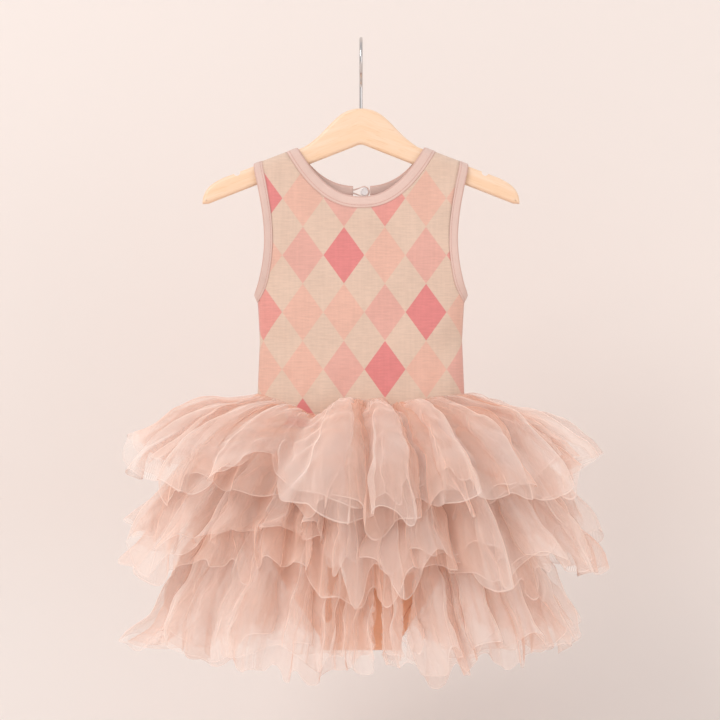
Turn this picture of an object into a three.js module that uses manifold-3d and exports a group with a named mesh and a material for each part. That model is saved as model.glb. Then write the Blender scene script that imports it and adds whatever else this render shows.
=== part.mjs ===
import * as THREE from "three";
import { mergeVertices } from "three/addons/utils/BufferGeometryUtils.js";
import Module from "manifold-3d";

// A small child's tutu dress on a wooden hanger: a sleeveless jersey bodice, a brief below it,
// and three gathered tulle tiers sewn round the waist and hips.
// Millimetres, +Z up. The front of the dress faces -Y and the wearer's left is +X.
// The origin is the underside of the hook's top, where the hook rests on a rail.

const { lerp, clamp, degToRad } = THREE.MathUtils;

// Cloth
const JERSEY_WALL = 1.2;
const BINDING_WALL = 2.2;
const TULLE_WALL = 1.2;
const SEAM_GAP = 0.3;

// Levels below the rail
const WAIST_LEVEL = -358;
const UNDERARM_LEVEL = -254;
const HIP_LEVEL = -465;
const CROTCH_LEVEL = -609;

// The shoulder seam runs straight down and out, over the hanger's arms
const SHOULDER = { innerX: 63, level: -107.6, slope: 0.38, roundRadius: 8 };
const SIDE_ROUND_WIDTH = 55;
const CROTCH_ROUND_RADIUS = 14;
const SLOPE_STEP = 0.4;

// Neckline curves, as powers of the distance from the centre line
const NECK = {
  front: { edge: { level: -156.5, power: 2.2 }, seam: { level: -168.1, power: 2.3 } },
  back: { edge: { level: -145, power: 2.6 }, seam: { level: -156.5, power: 2.5 } },
  edgeHalfWidth: 63,
  seamHalfWidth: 74.5,
};

// Back closure: a slit down from the neck, with a button at one side of it and a thread loop at the other
const SLIT = { topHalfWidth: 7, halfWidth: 5.5, footHalfWidth: 2.5, depth: 56, cutDepth: 60, steps: 10 };
const NECK_END = { left: 9, right: 8 };
const BUTTON = { radius: 4.2, thickness: 2.4, dimple: 0.6, x: 3.2, level: -150.5, turn: 20 };
const LOOP = { threadRadius: 0.6, rise: 1.4, wrapAngle: 110, wrapSteps: 10, sides: 4, steps: 22 };

// The body's sections, widest at the seams and deepest at the centre line
const TORSO = [
  { level: -104, halfWidth: 106, halfDepth: 8 },
  { level: -134, halfWidth: 106, halfDepth: 8 },
  { level: -200, halfWidth: 106, halfDepth: 12 },
  { level: -254, halfWidth: 106, halfDepth: 16 },
  { level: -263, halfWidth: 102.5, halfDepth: 17 },
  { level: -300, halfWidth: 100.5, halfDepth: 19 },
  { level: -358, halfWidth: 103, halfDepth: 23 },
  { level: -420, halfWidth: 105, halfDepth: 25 },
  { level: -465, halfWidth: 106, halfDepth: 25 },
  { level: -560, halfWidth: 106, halfDepth: 21 },
  { level: -595, halfWidth: 106, halfDepth: 14 },
  { level: -609, halfWidth: 106, halfDepth: 14 },
];

// Armhole from the underarm up to the shoulder: the free edge, and the seam where its binding ends
const ARMHOLE = [
  { edgeX: 106.5, edgeLevel: -253.5, seamX: 102.5, seamLevel: -262.5 },
  { edgeX: 102.5, edgeLevel: -242, seamX: 94.3, seamLevel: -246.5 },
  { edgeX: 98.3, edgeLevel: -222, seamX: 89.5, seamLevel: -224 },
  { edgeX: 96.5, edgeLevel: -200, seamX: 87.5, seamLevel: -200 },
  { edgeX: 98.2, edgeLevel: -175, seamX: 89.2, seamLevel: -173.5 },
  { edgeX: 102.5, edgeLevel: -150, seamX: 93.6, seamLevel: -147 },
];
const ARMHOLE_TOP = { edgeX: 107.3, seamX: 98.5 };

// Leg opening from the hip down to the crotch
const LEG = [
  { edgeX: 106, edgeLevel: -465, seamX: 106, seamLevel: -456 },
  { edgeX: 96, edgeLevel: -499, seamX: 87.5, seamLevel: -494 },
  { edgeX: 76, edgeLevel: -541, seamX: 67.5, seamLevel: -536 },
  { edgeX: 54, edgeLevel: -574, seamX: 46, seamLevel: -568 },
  { edgeX: 41, edgeLevel: -595, seamX: 32, seamLevel: -595 },
];
const LEG_BOTTOM = { edgeX: 39, seamX: 30 };

// The tulle tiers. reach runs from the seam to the hem's full spread, and drop is the fall below the seam.
const TIERS = [
  {
    name: "tutu_tier_top", level: WAIST_LEVEL, spreadX: 237, spreadY: 124, ripple: 12, phase: 0.4,
    profile: [
      { reach: 0, dropFront: 0, dropSide: 0 },
      { reach: 0.2, dropFront: 2, dropSide: -8 },
      { reach: 0.46, dropFront: 16, dropSide: -5 },
      { reach: 0.68, dropFront: 40, dropSide: 5 },
      { reach: 0.9, dropFront: 82, dropSide: 34 },
      { reach: 1, dropFront: 122, dropSide: 84 },
    ],
  },
  {
    name: "tutu_tier_middle", level: WAIST_LEVEL - 34, spreadX: 243, spreadY: 110, ripple: 12, phase: 2.1,
    profile: [
      { reach: 0, dropFront: 0, dropSide: 0 },
      { reach: 0.2, dropFront: 9, dropSide: 3 },
      { reach: 0.5, dropFront: 42, dropSide: 28 },
      { reach: 0.76, dropFront: 84, dropSide: 66 },
      { reach: 0.92, dropFront: 122, dropSide: 104 },
      { reach: 1, dropFront: 160, dropSide: 142 },
    ],
  },
  {
    name: "tutu_tier_bottom", level: WAIST_LEVEL - 68, spreadX: 226, spreadY: 94, ripple: 11, phase: 4.4,
    profile: [
      { reach: 0, dropFront: 0, dropSide: 0 },
      { reach: 0.18, dropFront: 18, dropSide: 12 },
      { reach: 0.42, dropFront: 64, dropSide: 50 },
      { reach: 0.66, dropFront: 114, dropSide: 100 },
      { reach: 0.86, dropFront: 164, dropSide: 150 },
      { reach: 1, dropFront: 210, dropSide: 190 },
    ],
  },
];
const RIPPLE = { main: 17, fine: 28, fineShare: 0.3, wander: 0.9, growth: 0.9 };
const HEM_RISE = { count: 11, height: 7 };
const TIER_COLUMNS = 102;
const TIER_CLEARANCE = 1.2;

// Hanger
const HANGER = {
  topLevel: -68, crotchLevel: -103.5, thickness: 10, edgeRound: 4, topClearance: 1.5,
  humpTopX: 26, humpFootX: 30, humpFootRise: 17, humpHalfWidth: 57,
  shoulderEndX: 138, tipX: 158.5, tipLevel: -163.5, tipRound: 8, bottomSlope: 0.392,
  notchX: 124, notchRadius: 3.4, curveSteps: 7, cutSides: 14,
};
const HOOK = {
  wireRadius: 1.7, radius: 21.5, backAngle: 98, frontAngle: 125, turnSteps: 16, bendReach: 9, bendSteps: 5,
  stemTop: -48, stemDepth: 18, boreClearance: 0.35, steps: 44, sides: 4,
};

// Mesh density
const NECK_STEPS = 6;
const SHOULDER_STEPS = 3;
const SIDE_STEPS = 4;
const ARMHOLE_STEPS = 9;
const ARC_STEPS = 4;
const LEG_STEPS = 8;
const CROTCH_STEPS = 4;
const BRIEF_ROWS = 6;

const COLOURS = {
  print: 0xe9c8ad,
  binding: 0xe9c8bb,
  brief: 0xdf9f84,
  tulle: 0xedccbd,
  pearl: 0xf7f3f0,
  wood: 0xf3d2a2,
  chrome: 0xc9c6c8,
};

// The body's surface

function torsoAt(key, level) {
  const below = TORSO.findIndex((row) => row.level <= level);
  if (below < 0) return TORSO.at(-1)[key];
  if (below === 0) return TORSO[0][key];
  const upper = TORSO[below - 1];
  const lower = TORSO[below];
  return lerp(upper[key], lower[key], (upper.level - level) / (upper.level - lower.level));
}

// A quarter of an ellipse: 0 at a seam, with an upright tangent, and 1 where the cloth is flat.
function dome(share) {
  const inward = 1 - clamp(share, 0, 1);
  return Math.sqrt(1 - inward * inward);
}

function shoulderLine(x) {
  return SHOULDER.level - SHOULDER.slope * (Math.abs(x) - SHOULDER.innerX);
}

function depthAt(x, level) {
  const pastSideSeam = Math.max(0, level - UNDERARM_LEVEL, HIP_LEVEL - level);
  const sideGap = Math.hypot(Math.max(0, torsoAt("halfWidth", level) - Math.abs(x)), pastSideSeam);
  return (
    torsoAt("halfDepth", level) *
    dome(sideGap / SIDE_ROUND_WIDTH) *
    dome((shoulderLine(x) - level) / SHOULDER.roundRadius) *
    dome((level - CROTCH_LEVEL) / CROTCH_ROUND_RADIUS)
  );
}

// side is -1 on the front and 1 on the back.
function onBody(flat, side) {
  return new THREE.Vector3(flat.x, side * Math.max(SEAM_GAP / 2, depthAt(flat.x, flat.y)), flat.y);
}

// The way out of the body's surface. Front and back pieces meet edge to edge: at a side or shoulder
// seam their ends lie in one upright plane, and at the waist in one level plane.
function bodyNormal(normal, point) {
  const { x, y, z } = point;
  if (Math.abs(y) < SEAM_GAP) {
    const outward = Math.sign(normal.x * x + normal.z * (z - WAIST_LEVEL));
    normal.set(normal.x * outward, 0, normal.z * outward);
  } else {
    const slopeX = depthAt(x + SLOPE_STEP, z) - depthAt(x - SLOPE_STEP, z);
    const slopeZ = depthAt(x, z + SLOPE_STEP) - depthAt(x, z - SLOPE_STEP);
    normal.set(-slopeX, 2 * SLOPE_STEP * Math.sign(y), -slopeZ);
  }
  if (Math.abs(z - WAIST_LEVEL) < SEAM_GAP) normal.z = 0;
  return normal.normalize();
}

// Outlines in the plane of the hanger: x across, y the level

function flatPoint(x, level) {
  return new THREE.Vector2(x, level);
}

function mirrored(points) {
  return points.map((p) => flatPoint(-p.x, p.y)).reverse();
}

function neckLevel(curve, halfWidth, x) {
  const rise = shoulderLine(halfWidth) - curve.level;
  return curve.level + rise * Math.pow(Math.abs(x) / halfWidth, curve.power);
}

// Where a neck curve comes within the shoulder's rounding.
function neckBaseX(curve, halfWidth) {
  let inside = 0;
  let outside = halfWidth;
  for (let i = 0; i < 30; i += 1) {
    const x = (inside + outside) / 2;
    const below = shoulderLine(x) - neckLevel(curve, halfWidth, x);
    if (below > SHOULDER.roundRadius) inside = x;
    else outside = x;
  }
  return inside;
}

// From startX to the shoulder's rounding, on the wearer's left.
function neckHalf(curve, halfWidth, startX) {
  const baseX = neckBaseX(curve, halfWidth);
  return Array.from({ length: NECK_STEPS + 1 }, (_, i) => {
    const x = lerp(startX, baseX, i / NECK_STEPS);
    return flatPoint(x, neckLevel(curve, halfWidth, x));
  });
}

function shoulderArc(baseX, topX) {
  return Array.from({ length: ARC_STEPS }, (_, i) => {
    const up = Math.sin((Math.PI / 2) * ((i + 1) / ARC_STEPS));
    const x = lerp(baseX, topX, up);
    return flatPoint(x, shoulderLine(x) - SHOULDER.roundRadius * (1 - up));
  });
}

function crotchArc(baseX, bottomX) {
  return Array.from({ length: ARC_STEPS }, (_, i) => {
    const down = Math.sin((Math.PI / 2) * ((i + 1) / ARC_STEPS));
    return flatPoint(lerp(baseX, bottomX, down), CROTCH_LEVEL + CROTCH_ROUND_RADIUS * (1 - down));
  });
}

// A smooth line through one edge of an opening's table. kind is edge or seam.
function openingLine(table, kind, last, steps) {
  const knots = table.map((row) => new THREE.Vector3(row[kind + "X"], 0, row[kind + "Level"]));
  if (last) knots.push(new THREE.Vector3(last.x, 0, last.y));
  const curve = new THREE.CatmullRomCurve3(knots, false, "centripetal");
  return curve.getPoints(steps).map((p) => flatPoint(p.x, p.z));
}

function armholeLine(kind) {
  const topX = ARMHOLE_TOP[kind + "X"];
  const baseX = topX - 1;
  const base = flatPoint(baseX, shoulderLine(baseX) - SHOULDER.roundRadius);
  return { side: openingLine(ARMHOLE, kind, base, ARMHOLE_STEPS), arc: shoulderArc(baseX, topX) };
}

function legLine(kind) {
  const side = openingLine(LEG, kind, null, LEG_STEPS);
  return { side, arc: crotchArc(side.at(-1).x, LEG_BOTTOM[kind + "X"]) };
}

function neckLine(kind, face, startX) {
  const curve = NECK[face][kind];
  const halfWidth = NECK[kind + "HalfWidth"];
  const side = neckHalf(curve, halfWidth, startX);
  return { side, arc: shoulderArc(side.at(-1).x, halfWidth) };
}

// Panels end a seam's gap short of their bindings. hand is 1 where the panel lies to the right of the line.
function drawnIn(line, hand) {
  const points = [...line.side, ...line.arc];
  const moved = points.map((p, i) => {
    const next = points[Math.min(i + 1, points.length - 1)];
    const before = points[Math.max(i - 1, 0)];
    const along = flatPoint(next.x - before.x, next.y - before.y).normalize();
    return flatPoint(p.x + along.y * hand * SEAM_GAP, p.y - along.x * hand * SEAM_GAP);
  });
  return { side: moved.slice(0, line.side.length), arc: moved.slice(line.side.length) };
}

// The point of a panel's outline at its side seam.
function atSideSeam(level) {
  return flatPoint(torsoAt("halfWidth", level), level);
}

// Fills the space between four outlines that meet at their ends.
function coons(bottom, top, left, right) {
  const columns = bottom.length - 1;
  const rows = left.length - 1;
  return left.map((_, j) =>
    bottom.map((__, i) => {
      const u = i / columns;
      const v = j / rows;
      const across = left[j].clone().lerp(right[j], u);
      const along = bottom[i].clone().lerp(top[i], v);
      const corners = bottom[0].clone().lerp(bottom[columns], u);
      corners.lerp(top[0].clone().lerp(top[columns], u), v);
      return across.add(along).sub(corners);
    }),
  );
}

// Cloth walls

// Turns a quad so that its first and third corners, where it is split in two, are the nearer pair.
// Of two alike, the pair that reaches higher is taken, so that left and right are split alike.
function splitWhereShort(corners, pointOf) {
  const [a, b, c, d] = corners.map(pointOf);
  const longer = a.distanceTo(c) - b.distanceTo(d);
  const lower = Math.max(b.z, d.z) - Math.max(a.z, c.z);
  const turned = Math.abs(longer) > 0.01 ? longer > 0 : lower > 0;
  return turned ? [...corners.slice(1), corners[0]] : corners;
}

// Collects quads whose corners are shared where they meet.
class Cloth {
  constructor() {
    this.points = [];
    this.quads = [];
    this.known = new Map();
  }

  place(point) {
    const key = [point.x, point.y, point.z].map((v) => Math.round(v * 100)).join(" ");
    if (!this.known.has(key)) {
      this.known.set(key, this.points.length);
      this.points.push(point);
    }
    return this.known.get(key);
  }

  addGrid(rows) {
    const ids = rows.map((row) => row.map((point) => this.place(point)));
    for (let j = 0; j + 1 < ids.length; j += 1)
      for (let i = 0; i + 1 < ids[j].length; i += 1)
        this.quads.push([ids[j][i], ids[j][i + 1], ids[j + 1][i + 1], ids[j + 1][i]]);
    return this;
  }

  normals(rule) {
    const sums = this.points.map(() => new THREE.Vector3());
    for (const quad of this.quads) {
      const [a, b, c, d] = quad.map((id) => this.points[id]);
      const face = c.clone().sub(a).cross(d.clone().sub(b));
      for (const id of quad) sums[id].add(face);
    }
    return sums.map((sum, id) => rule(sum.normalize(), this.points[id]));
  }

  // The closed wall of this cloth, half its thickness to each side. rule sets the normal at each point.
  wall(thickness, rule) {
    const normals = this.normals(rule);
    const outer = this.points.map((p, id) => p.clone().addScaledVector(normals[id], thickness / 2));
    const inner = this.points.map((p, id) => p.clone().addScaledVector(normals[id], -thickness / 2));
    const triangles = [];
    const quad = (a, b, c, d) => triangles.push(a, b, c, a, c, d);
    const openEdges = new Map();
    for (const corners of this.quads) {
      const ids = splitWhereShort(corners, (id) => this.points[id]);
      const [a, b, c, d] = ids;
      quad(outer[a], outer[b], outer[c], outer[d]);
      quad(inner[a], inner[d], inner[c], inner[b]);
      ids.forEach((from, k) => {
        const to = ids[(k + 1) % 4];
        const back = to + " " + from;
        if (openEdges.has(back)) openEdges.delete(back);
        else openEdges.set(from + " " + to, [from, to]);
      });
    }
    for (const [from, to] of openEdges.values()) {
      const rim = [outer[to], outer[from], inner[from], inner[to]];
      quad(...splitWhereShort(rim, (point) => point));
    }
    return facingOut(new THREE.BufferGeometry().setFromPoints(triangles));
  }
}

function signedVolume(geometry) {
  const position = geometry.getAttribute("position");
  const [a, b, c] = [new THREE.Vector3(), new THREE.Vector3(), new THREE.Vector3()];
  let six = 0;
  for (let i = 0; i < position.count; i += 3) {
    a.fromBufferAttribute(position, i);
    b.fromBufferAttribute(position, i + 1);
    c.fromBufferAttribute(position, i + 2);
    six += a.dot(b.cross(c));
  }
  return six / 6;
}

// A wall drawn on the other side of a mirror comes out inside out, and is turned here.
function facingOut(geometry) {
  if (signedVolume(geometry) > 0) return geometry;
  const position = geometry.getAttribute("position");
  const b = new THREE.Vector3();
  const c = new THREE.Vector3();
  for (let i = 0; i < position.count; i += 3) {
    b.fromBufferAttribute(position, i + 1);
    c.fromBufferAttribute(position, i + 2);
    position.setXYZ(i + 1, c.x, c.y, c.z);
    position.setXYZ(i + 2, b.x, b.y, b.z);
  }
  return geometry;
}

// Solids that are cut

const wasm = await Module();
wasm.setup();

function toSolid(geometry) {
  const bare = new THREE.BufferGeometry();
  bare.setAttribute("position", geometry.getAttribute("position"));
  if (geometry.index) bare.setIndex(geometry.index);
  const merged = mergeVertices(bare, 1e-3);
  return new wasm.Manifold(
    new wasm.Mesh({
      numProp: 3,
      vertProperties: new Float32Array(merged.getAttribute("position").array),
      triVerts: new Uint32Array(merged.index.array),
    }),
  );
}

function toGeometry(solid) {
  const mesh = solid.getMesh();
  const geometry = new THREE.BufferGeometry();
  geometry.setAttribute("position", new THREE.BufferAttribute(mesh.vertProperties, mesh.numProp));
  geometry.setIndex(new THREE.BufferAttribute(mesh.triVerts, 1));
  return geometry;
}

function cutBy(geometry, ...tools) {
  return toGeometry(tools.reduce((left, tool) => left.subtract(toSolid(tool)), toSolid(geometry)));
}

// Bodice

function bodiceCloth(face) {
  const side = face === "front" ? -1 : 1;
  const neck = drawnIn(neckLine("seam", face, 0), 1);
  const arm = drawnIn(armholeLine("seam"), -1);
  const neckSide = neck.side;
  const armSide = arm.side;
  neckSide[0].x = 0;
  armSide[0] = atSideSeam(armSide[0].y - SEAM_GAP);

  const waist = WAIST_LEVEL + SEAM_GAP / 2;
  const sideSeam = Array.from({ length: SIDE_STEPS }, (_, j) =>
    atSideSeam(lerp(waist, armSide[0].y, j / SIDE_STEPS)),
  );
  const right = [...sideSeam, ...armSide];
  const shoulder = Array.from({ length: SHOULDER_STEPS - 1 }, (_, i) => {
    const x = lerp(neckSide.at(-1).x, armSide.at(-1).x, (i + 1) / SHOULDER_STEPS);
    return flatPoint(x, shoulderLine(x) - SHOULDER.roundRadius);
  });
  const topHalf = [...neckSide, ...shoulder, armSide.at(-1)];
  const top = [...mirrored(topHalf), ...topHalf.slice(1)];
  const columns = top.length - 1;
  const bottom = top.map((_, i) => {
    const across = Math.sin(degToRad(lerp(-90, 90, i / columns)));
    return flatPoint(across * torsoAt("halfWidth", waist), waist);
  });
  const left = right.map((p) => flatPoint(-p.x, p.y));
  const cloth = new Cloth();
  const panel = coons(bottom, top, left, right);
  cloth.addGrid(panel.map((row) => row.map((flat) => onBody(flat, side))));

  for (const hand of [1, -1]) {
    const base = topHalf.slice(NECK_STEPS);
    const rows = [base];
    for (let k = 0; k < ARC_STEPS; k += 1)
      rows.push(base.map((_, i) => neck.arc[k].clone().lerp(arm.arc[k], i / SHOULDER_STEPS)));
    const strip = rows.map((row) => row.map((flat) => onBody(flatPoint(flat.x * hand, flat.y), side)));
    cloth.addGrid(hand > 0 ? strip : strip.map((row) => [...row].reverse()));
  }
  return cloth;
}

// A tool that cuts the slit right through the back panel, wide at the neck and pointed at its foot.
function slitCutter() {
  const top = NECK.back.edge.level;
  const foot = NECK.back.seam.level - SLIT.depth;
  const half = new THREE.CatmullRomCurve3([
    new THREE.Vector3(SLIT.topHalfWidth, 0, top),
    new THREE.Vector3(SLIT.halfWidth, 0, lerp(top, foot, 0.5)),
    new THREE.Vector3(SLIT.footHalfWidth, 0, lerp(top, foot, 0.88)),
    new THREE.Vector3(0, 0, foot),
  ]);
  const side = half.getPoints(SLIT.steps).map((p) => flatPoint(p.x, p.z));
  const outline = new THREE.Shape([...mirrored(side), ...side.slice(0, -1)]);
  const tool = new THREE.ExtrudeGeometry(outline, { depth: SLIT.cutDepth, bevelEnabled: false });
  return tool.rotateX(Math.PI / 2).translate(0, SLIT.cutDepth, 0);
}

function roundSection(radius) {
  return new THREE.Shape().absarc(0, 0, radius, 0, Math.PI * 2, false);
}

function bodiceBack() {
  return cutBy(bodiceCloth("back").wall(JERSEY_WALL, bodyNormal), slitCutter());
}

// Bindings

// Both edges of a binding as one strip of cloth points, edge first.
function bindingStrip(edge, seam, side) {
  return edge.map((flat, i) => [onBody(flat, side), onBody(seam[i], side)]);
}

// The middle of a seam that a binding crosses without a break.
function acrossSeam(pair) {
  return pair.map((flat) => new THREE.Vector3(flat.x, 0, flat.y));
}

function mirroredPoints(rows, hand) {
  return rows.map((row) => row.map((p) => new THREE.Vector3(p.x * hand, p.y, p.z)));
}

// A ring round an armhole or leg opening: up the front, over the end of the opening, and down the back.
function openingBinding(edgeLine, seamLine, hand) {
  const edge = [...edgeLine.side, ...edgeLine.arc];
  const seam = [...seamLine.side, ...seamLine.arc];
  const start = acrossSeam([edge[0], seam[0]]);
  const end = acrossSeam([edge.at(-1), seam.at(-1)]);
  const front = bindingStrip(edge.slice(1, -1), seam.slice(1, -1), -1);
  const back = bindingStrip(edge.slice(1, -1), seam.slice(1, -1), 1).reverse();
  const rows = mirroredPoints([start, ...front, end, ...back, start], hand);
  return new Cloth().addGrid(rows).wall(BINDING_WALL, bodyNormal);
}

// The neck binding's rows on one side of the wearer, from its end at the centre back to the centre front.
function neckBindingHalf(hand, backStart) {
  const strip = (face, startX) => {
    const edge = neckLine("edge", face, startX);
    const seam = neckLine("seam", face, startX);
    return bindingStrip([...edge.side, ...edge.arc], [...seam.side, ...seam.arc], face === "front" ? -1 : 1);
  };
  const back = strip("back", backStart);
  const front = strip("front", 0);
  const shoulder = front.at(-1).map((point) => new THREE.Vector3(point.x, 0, point.z));
  return mirroredPoints([...back.slice(0, -1), shoulder, ...front.slice(0, -1).reverse()], hand);
}

// One strip round the neck, with its two ends at the centre back.
function neckBinding() {
  const leftHalf = neckBindingHalf(1, NECK_END.left);
  const rightHalf = neckBindingHalf(-1, NECK_END.right).reverse();
  return new Cloth().addGrid([...leftHalf, ...rightHalf.slice(1)]).wall(BINDING_WALL, bodyNormal);
}

// Brief

function briefCloth(face) {
  const side = face === "front" ? -1 : 1;
  const leg = drawnIn(legLine("seam"), 1);
  const legSide = leg.side;
  legSide[0] = atSideSeam(legSide[0].y + SEAM_GAP);
  const crotchBase = Array.from({ length: CROTCH_STEPS - 1 }, (_, i) =>
    flatPoint(lerp(-legSide.at(-1).x, legSide.at(-1).x, (i + 1) / CROTCH_STEPS), legSide.at(-1).y),
  );
  const waist = WAIST_LEVEL - SEAM_GAP / 2;
  const right = Array.from({ length: BRIEF_ROWS + 1 }, (_, j) =>
    atSideSeam(lerp(legSide[0].y, waist, j / BRIEF_ROWS)),
  );
  const left = right.map((p) => flatPoint(-p.x, p.y));
  const bottom = [...mirrored(legSide).reverse(), ...crotchBase, ...[...legSide].reverse()];
  const columns = bottom.length - 1;
  const top = bottom.map((_, i) => {
    const across = Math.sin(degToRad(lerp(-90, 90, i / columns)));
    return flatPoint(across * torsoAt("halfWidth", waist), waist);
  });
  const cloth = new Cloth();
  const panel = coons(bottom, top, left, right);
  cloth.addGrid(panel.map((row) => row.map((flat) => onBody(flat, side))));

  const crotchRow = [flatPoint(-legSide.at(-1).x, legSide.at(-1).y), ...crotchBase, legSide.at(-1)];
  const rows = [crotchRow];
  for (const edge of leg.arc)
    rows.unshift(crotchRow.map((_, i) => flatPoint(lerp(-edge.x, edge.x, i / CROTCH_STEPS), edge.y)));
  cloth.addGrid(rows.map((row) => row.map((flat) => onBody(flat, side))));
  return cloth;
}

// Tulle tiers

function ripple(angle, phase) {
  const main = Math.sin(RIPPLE.main * angle + RIPPLE.wander * Math.sin(3 * angle) + phase);
  const fine = Math.sin(RIPPLE.fine * angle + 2 * phase);
  return (1 - RIPPLE.fineShare) * main + RIPPLE.fineShare * fine;
}

// The body's outline at a level, grown by clearance. angle 0 is the wearer's left, and 90 degrees the front.
function bodyRing(level, angle, clearance) {
  const halfWidth = torsoAt("halfWidth", level) + clearance;
  const halfDepth = torsoAt("halfDepth", level) + clearance;
  const x = halfWidth * Math.cos(angle);
  const depth = halfDepth * dome((halfWidth - Math.abs(x)) / SIDE_ROUND_WIDTH);
  return new THREE.Vector3(x, -Math.sign(Math.sin(angle)) * depth, level);
}

function tierPoint(tier, row, angle) {
  const seam = bodyRing(tier.level, angle, TIER_CLEARANCE);
  const sideShare = Math.cos(angle) ** 2;
  const hemRise = HEM_RISE.height * row.reach ** 3 * Math.sin(HEM_RISE.count * angle + tier.phase);
  return new THREE.Vector3(
    lerp(seam.x, tier.spreadX * Math.cos(angle), row.reach),
    lerp(seam.y, -tier.spreadY * Math.sin(angle), row.reach),
    tier.level - lerp(row.dropFront, row.dropSide, sideShare) + hemRise,
  );
}

function tierCloth(tier) {
  const angles = Array.from({ length: TIER_COLUMNS }, (_, i) => (2 * Math.PI * (i + 0.5)) / TIER_COLUMNS);
  const plain = tier.profile.map((row) => angles.map((angle) => tierPoint(tier, row, angle)));
  const rows = plain.map((points, j) =>
    points.map((point, i) => {
      const next = points[(i + 1) % TIER_COLUMNS];
      const before = points[(i + TIER_COLUMNS - 1) % TIER_COLUMNS];
      const along = next.clone().sub(before);
      const down = plain[Math.min(j + 1, plain.length - 1)][i].clone().sub(plain[Math.max(j - 1, 0)][i]);
      const outward = down.cross(along).normalize();
      const height = tier.ripple * tier.profile[j].reach ** RIPPLE.growth;
      return point.clone().addScaledVector(outward, height * ripple(angles[i], tier.phase));
    }),
  );
  return new Cloth().addGrid(rows.map((row) => [...row, row[0]]));
}

// A tier's gathered top edge stands square to the body.
function levelTop(tier) {
  return (normal, point) => (Math.abs(point.z - tier.level) < 0.01 ? normal.set(0, 0, 1) : normal);
}

// Closure

function buttonGeometry() {
  const { radius, thickness, dimple } = BUTTON;
  const profile = [
    [0, 0],
    [radius * 0.75, 0],
    [radius, thickness * 0.35],
    [radius, thickness * 0.7],
    [radius * 0.8, thickness],
    [radius * 0.55, thickness],
    [radius * 0.4, thickness - dimple],
    [0, thickness - dimple],
  ].map(([r, h]) => new THREE.Vector2(r, h - thickness / 2));
  return new THREE.LatheGeometry(profile, 20);
}

// A thread loop from one end of the neck binding round the button.
function buttonLoop(depth) {
  const wrap = BUTTON.radius + LOOP.threadRadius + SEAM_GAP;
  const startX = SEAM_GAP - NECK_END.right;
  const knots = [new THREE.Vector3(startX, depth, BUTTON.level + LOOP.rise)];
  for (let i = 0; i <= LOOP.wrapSteps; i += 1) {
    const turn = degToRad(lerp(LOOP.wrapAngle, -LOOP.wrapAngle, i / LOOP.wrapSteps));
    const x = BUTTON.x + wrap * Math.cos(turn) * Math.cos(degToRad(BUTTON.turn));
    knots.push(new THREE.Vector3(x, depth, BUTTON.level + wrap * Math.sin(turn)));
  }
  knots.push(new THREE.Vector3(startX, depth, BUTTON.level - LOOP.rise));
  return new THREE.ExtrudeGeometry(roundSection(LOOP.threadRadius), {
    extrudePath: new THREE.CatmullRomCurve3(knots),
    steps: LOOP.steps,
    curveSegments: LOOP.sides,
  });
}

// Hanger

function hangerOutline() {
  const armTop = (x) => shoulderLine(x) - HANGER.topClearance;
  const { topLevel, crotchLevel, bottomSlope, humpHalfWidth } = HANGER;
  const { shoulderEndX, tipX, tipLevel, tipRound } = HANGER;
  const humpFoot = armTop(humpHalfWidth);
  const armEnd = armTop(shoulderEndX);
  const undersideX = tipX - 0.75 * tipRound;
  const outline = new THREE.Shape();
  outline.moveTo(0, topLevel);
  outline.bezierCurveTo(
    HANGER.humpTopX, topLevel, HANGER.humpFootX, humpFoot + HANGER.humpFootRise, humpHalfWidth, humpFoot,
  );
  outline.lineTo(shoulderEndX, armEnd);
  outline.bezierCurveTo(
    tipX - tipRound, armEnd - 0.75 * tipRound, tipX, tipLevel + 1.75 * tipRound, tipX, tipLevel,
  );
  outline.lineTo(undersideX, crotchLevel - bottomSlope * undersideX);
  outline.lineTo(0, crotchLevel);
  const half = outline.getPoints(HANGER.curveSteps);
  return new THREE.Shape([...half, ...half.slice(1, -1).map((p) => flatPoint(-p.x, p.y)).reverse()]);
}

function hangerBody() {
  const { thickness, edgeRound, notchX, notchRadius, topLevel } = HANGER;
  const flat = thickness - 2 * edgeRound;
  const body = new THREE.ExtrudeGeometry(hangerOutline(), {
    depth: flat,
    bevelSize: edgeRound,
    bevelThickness: edgeRound,
    bevelOffset: -edgeRound,
    bevelSegments: 3,
  });
  body.rotateX(Math.PI / 2).translate(0, flat / 2, 0);
  const cylinder = (radius, length) => new THREE.CylinderGeometry(radius, radius, length, HANGER.cutSides);
  const notchLevel = shoulderLine(notchX) - HANGER.topClearance;
  const notch = cylinder(notchRadius, 2 * thickness).translate(0, 0, notchLevel);
  const notches = [notchX, -notchX].map((x) => notch.clone().translate(x, 0, 0));
  const bore = cylinder(HOOK.wireRadius + HOOK.boreClearance, 2 * (HOOK.stemDepth + 1));
  bore.rotateX(Math.PI / 2).translate(0, 0, topLevel);
  return cutBy(body, ...notches, bore);
}

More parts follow.
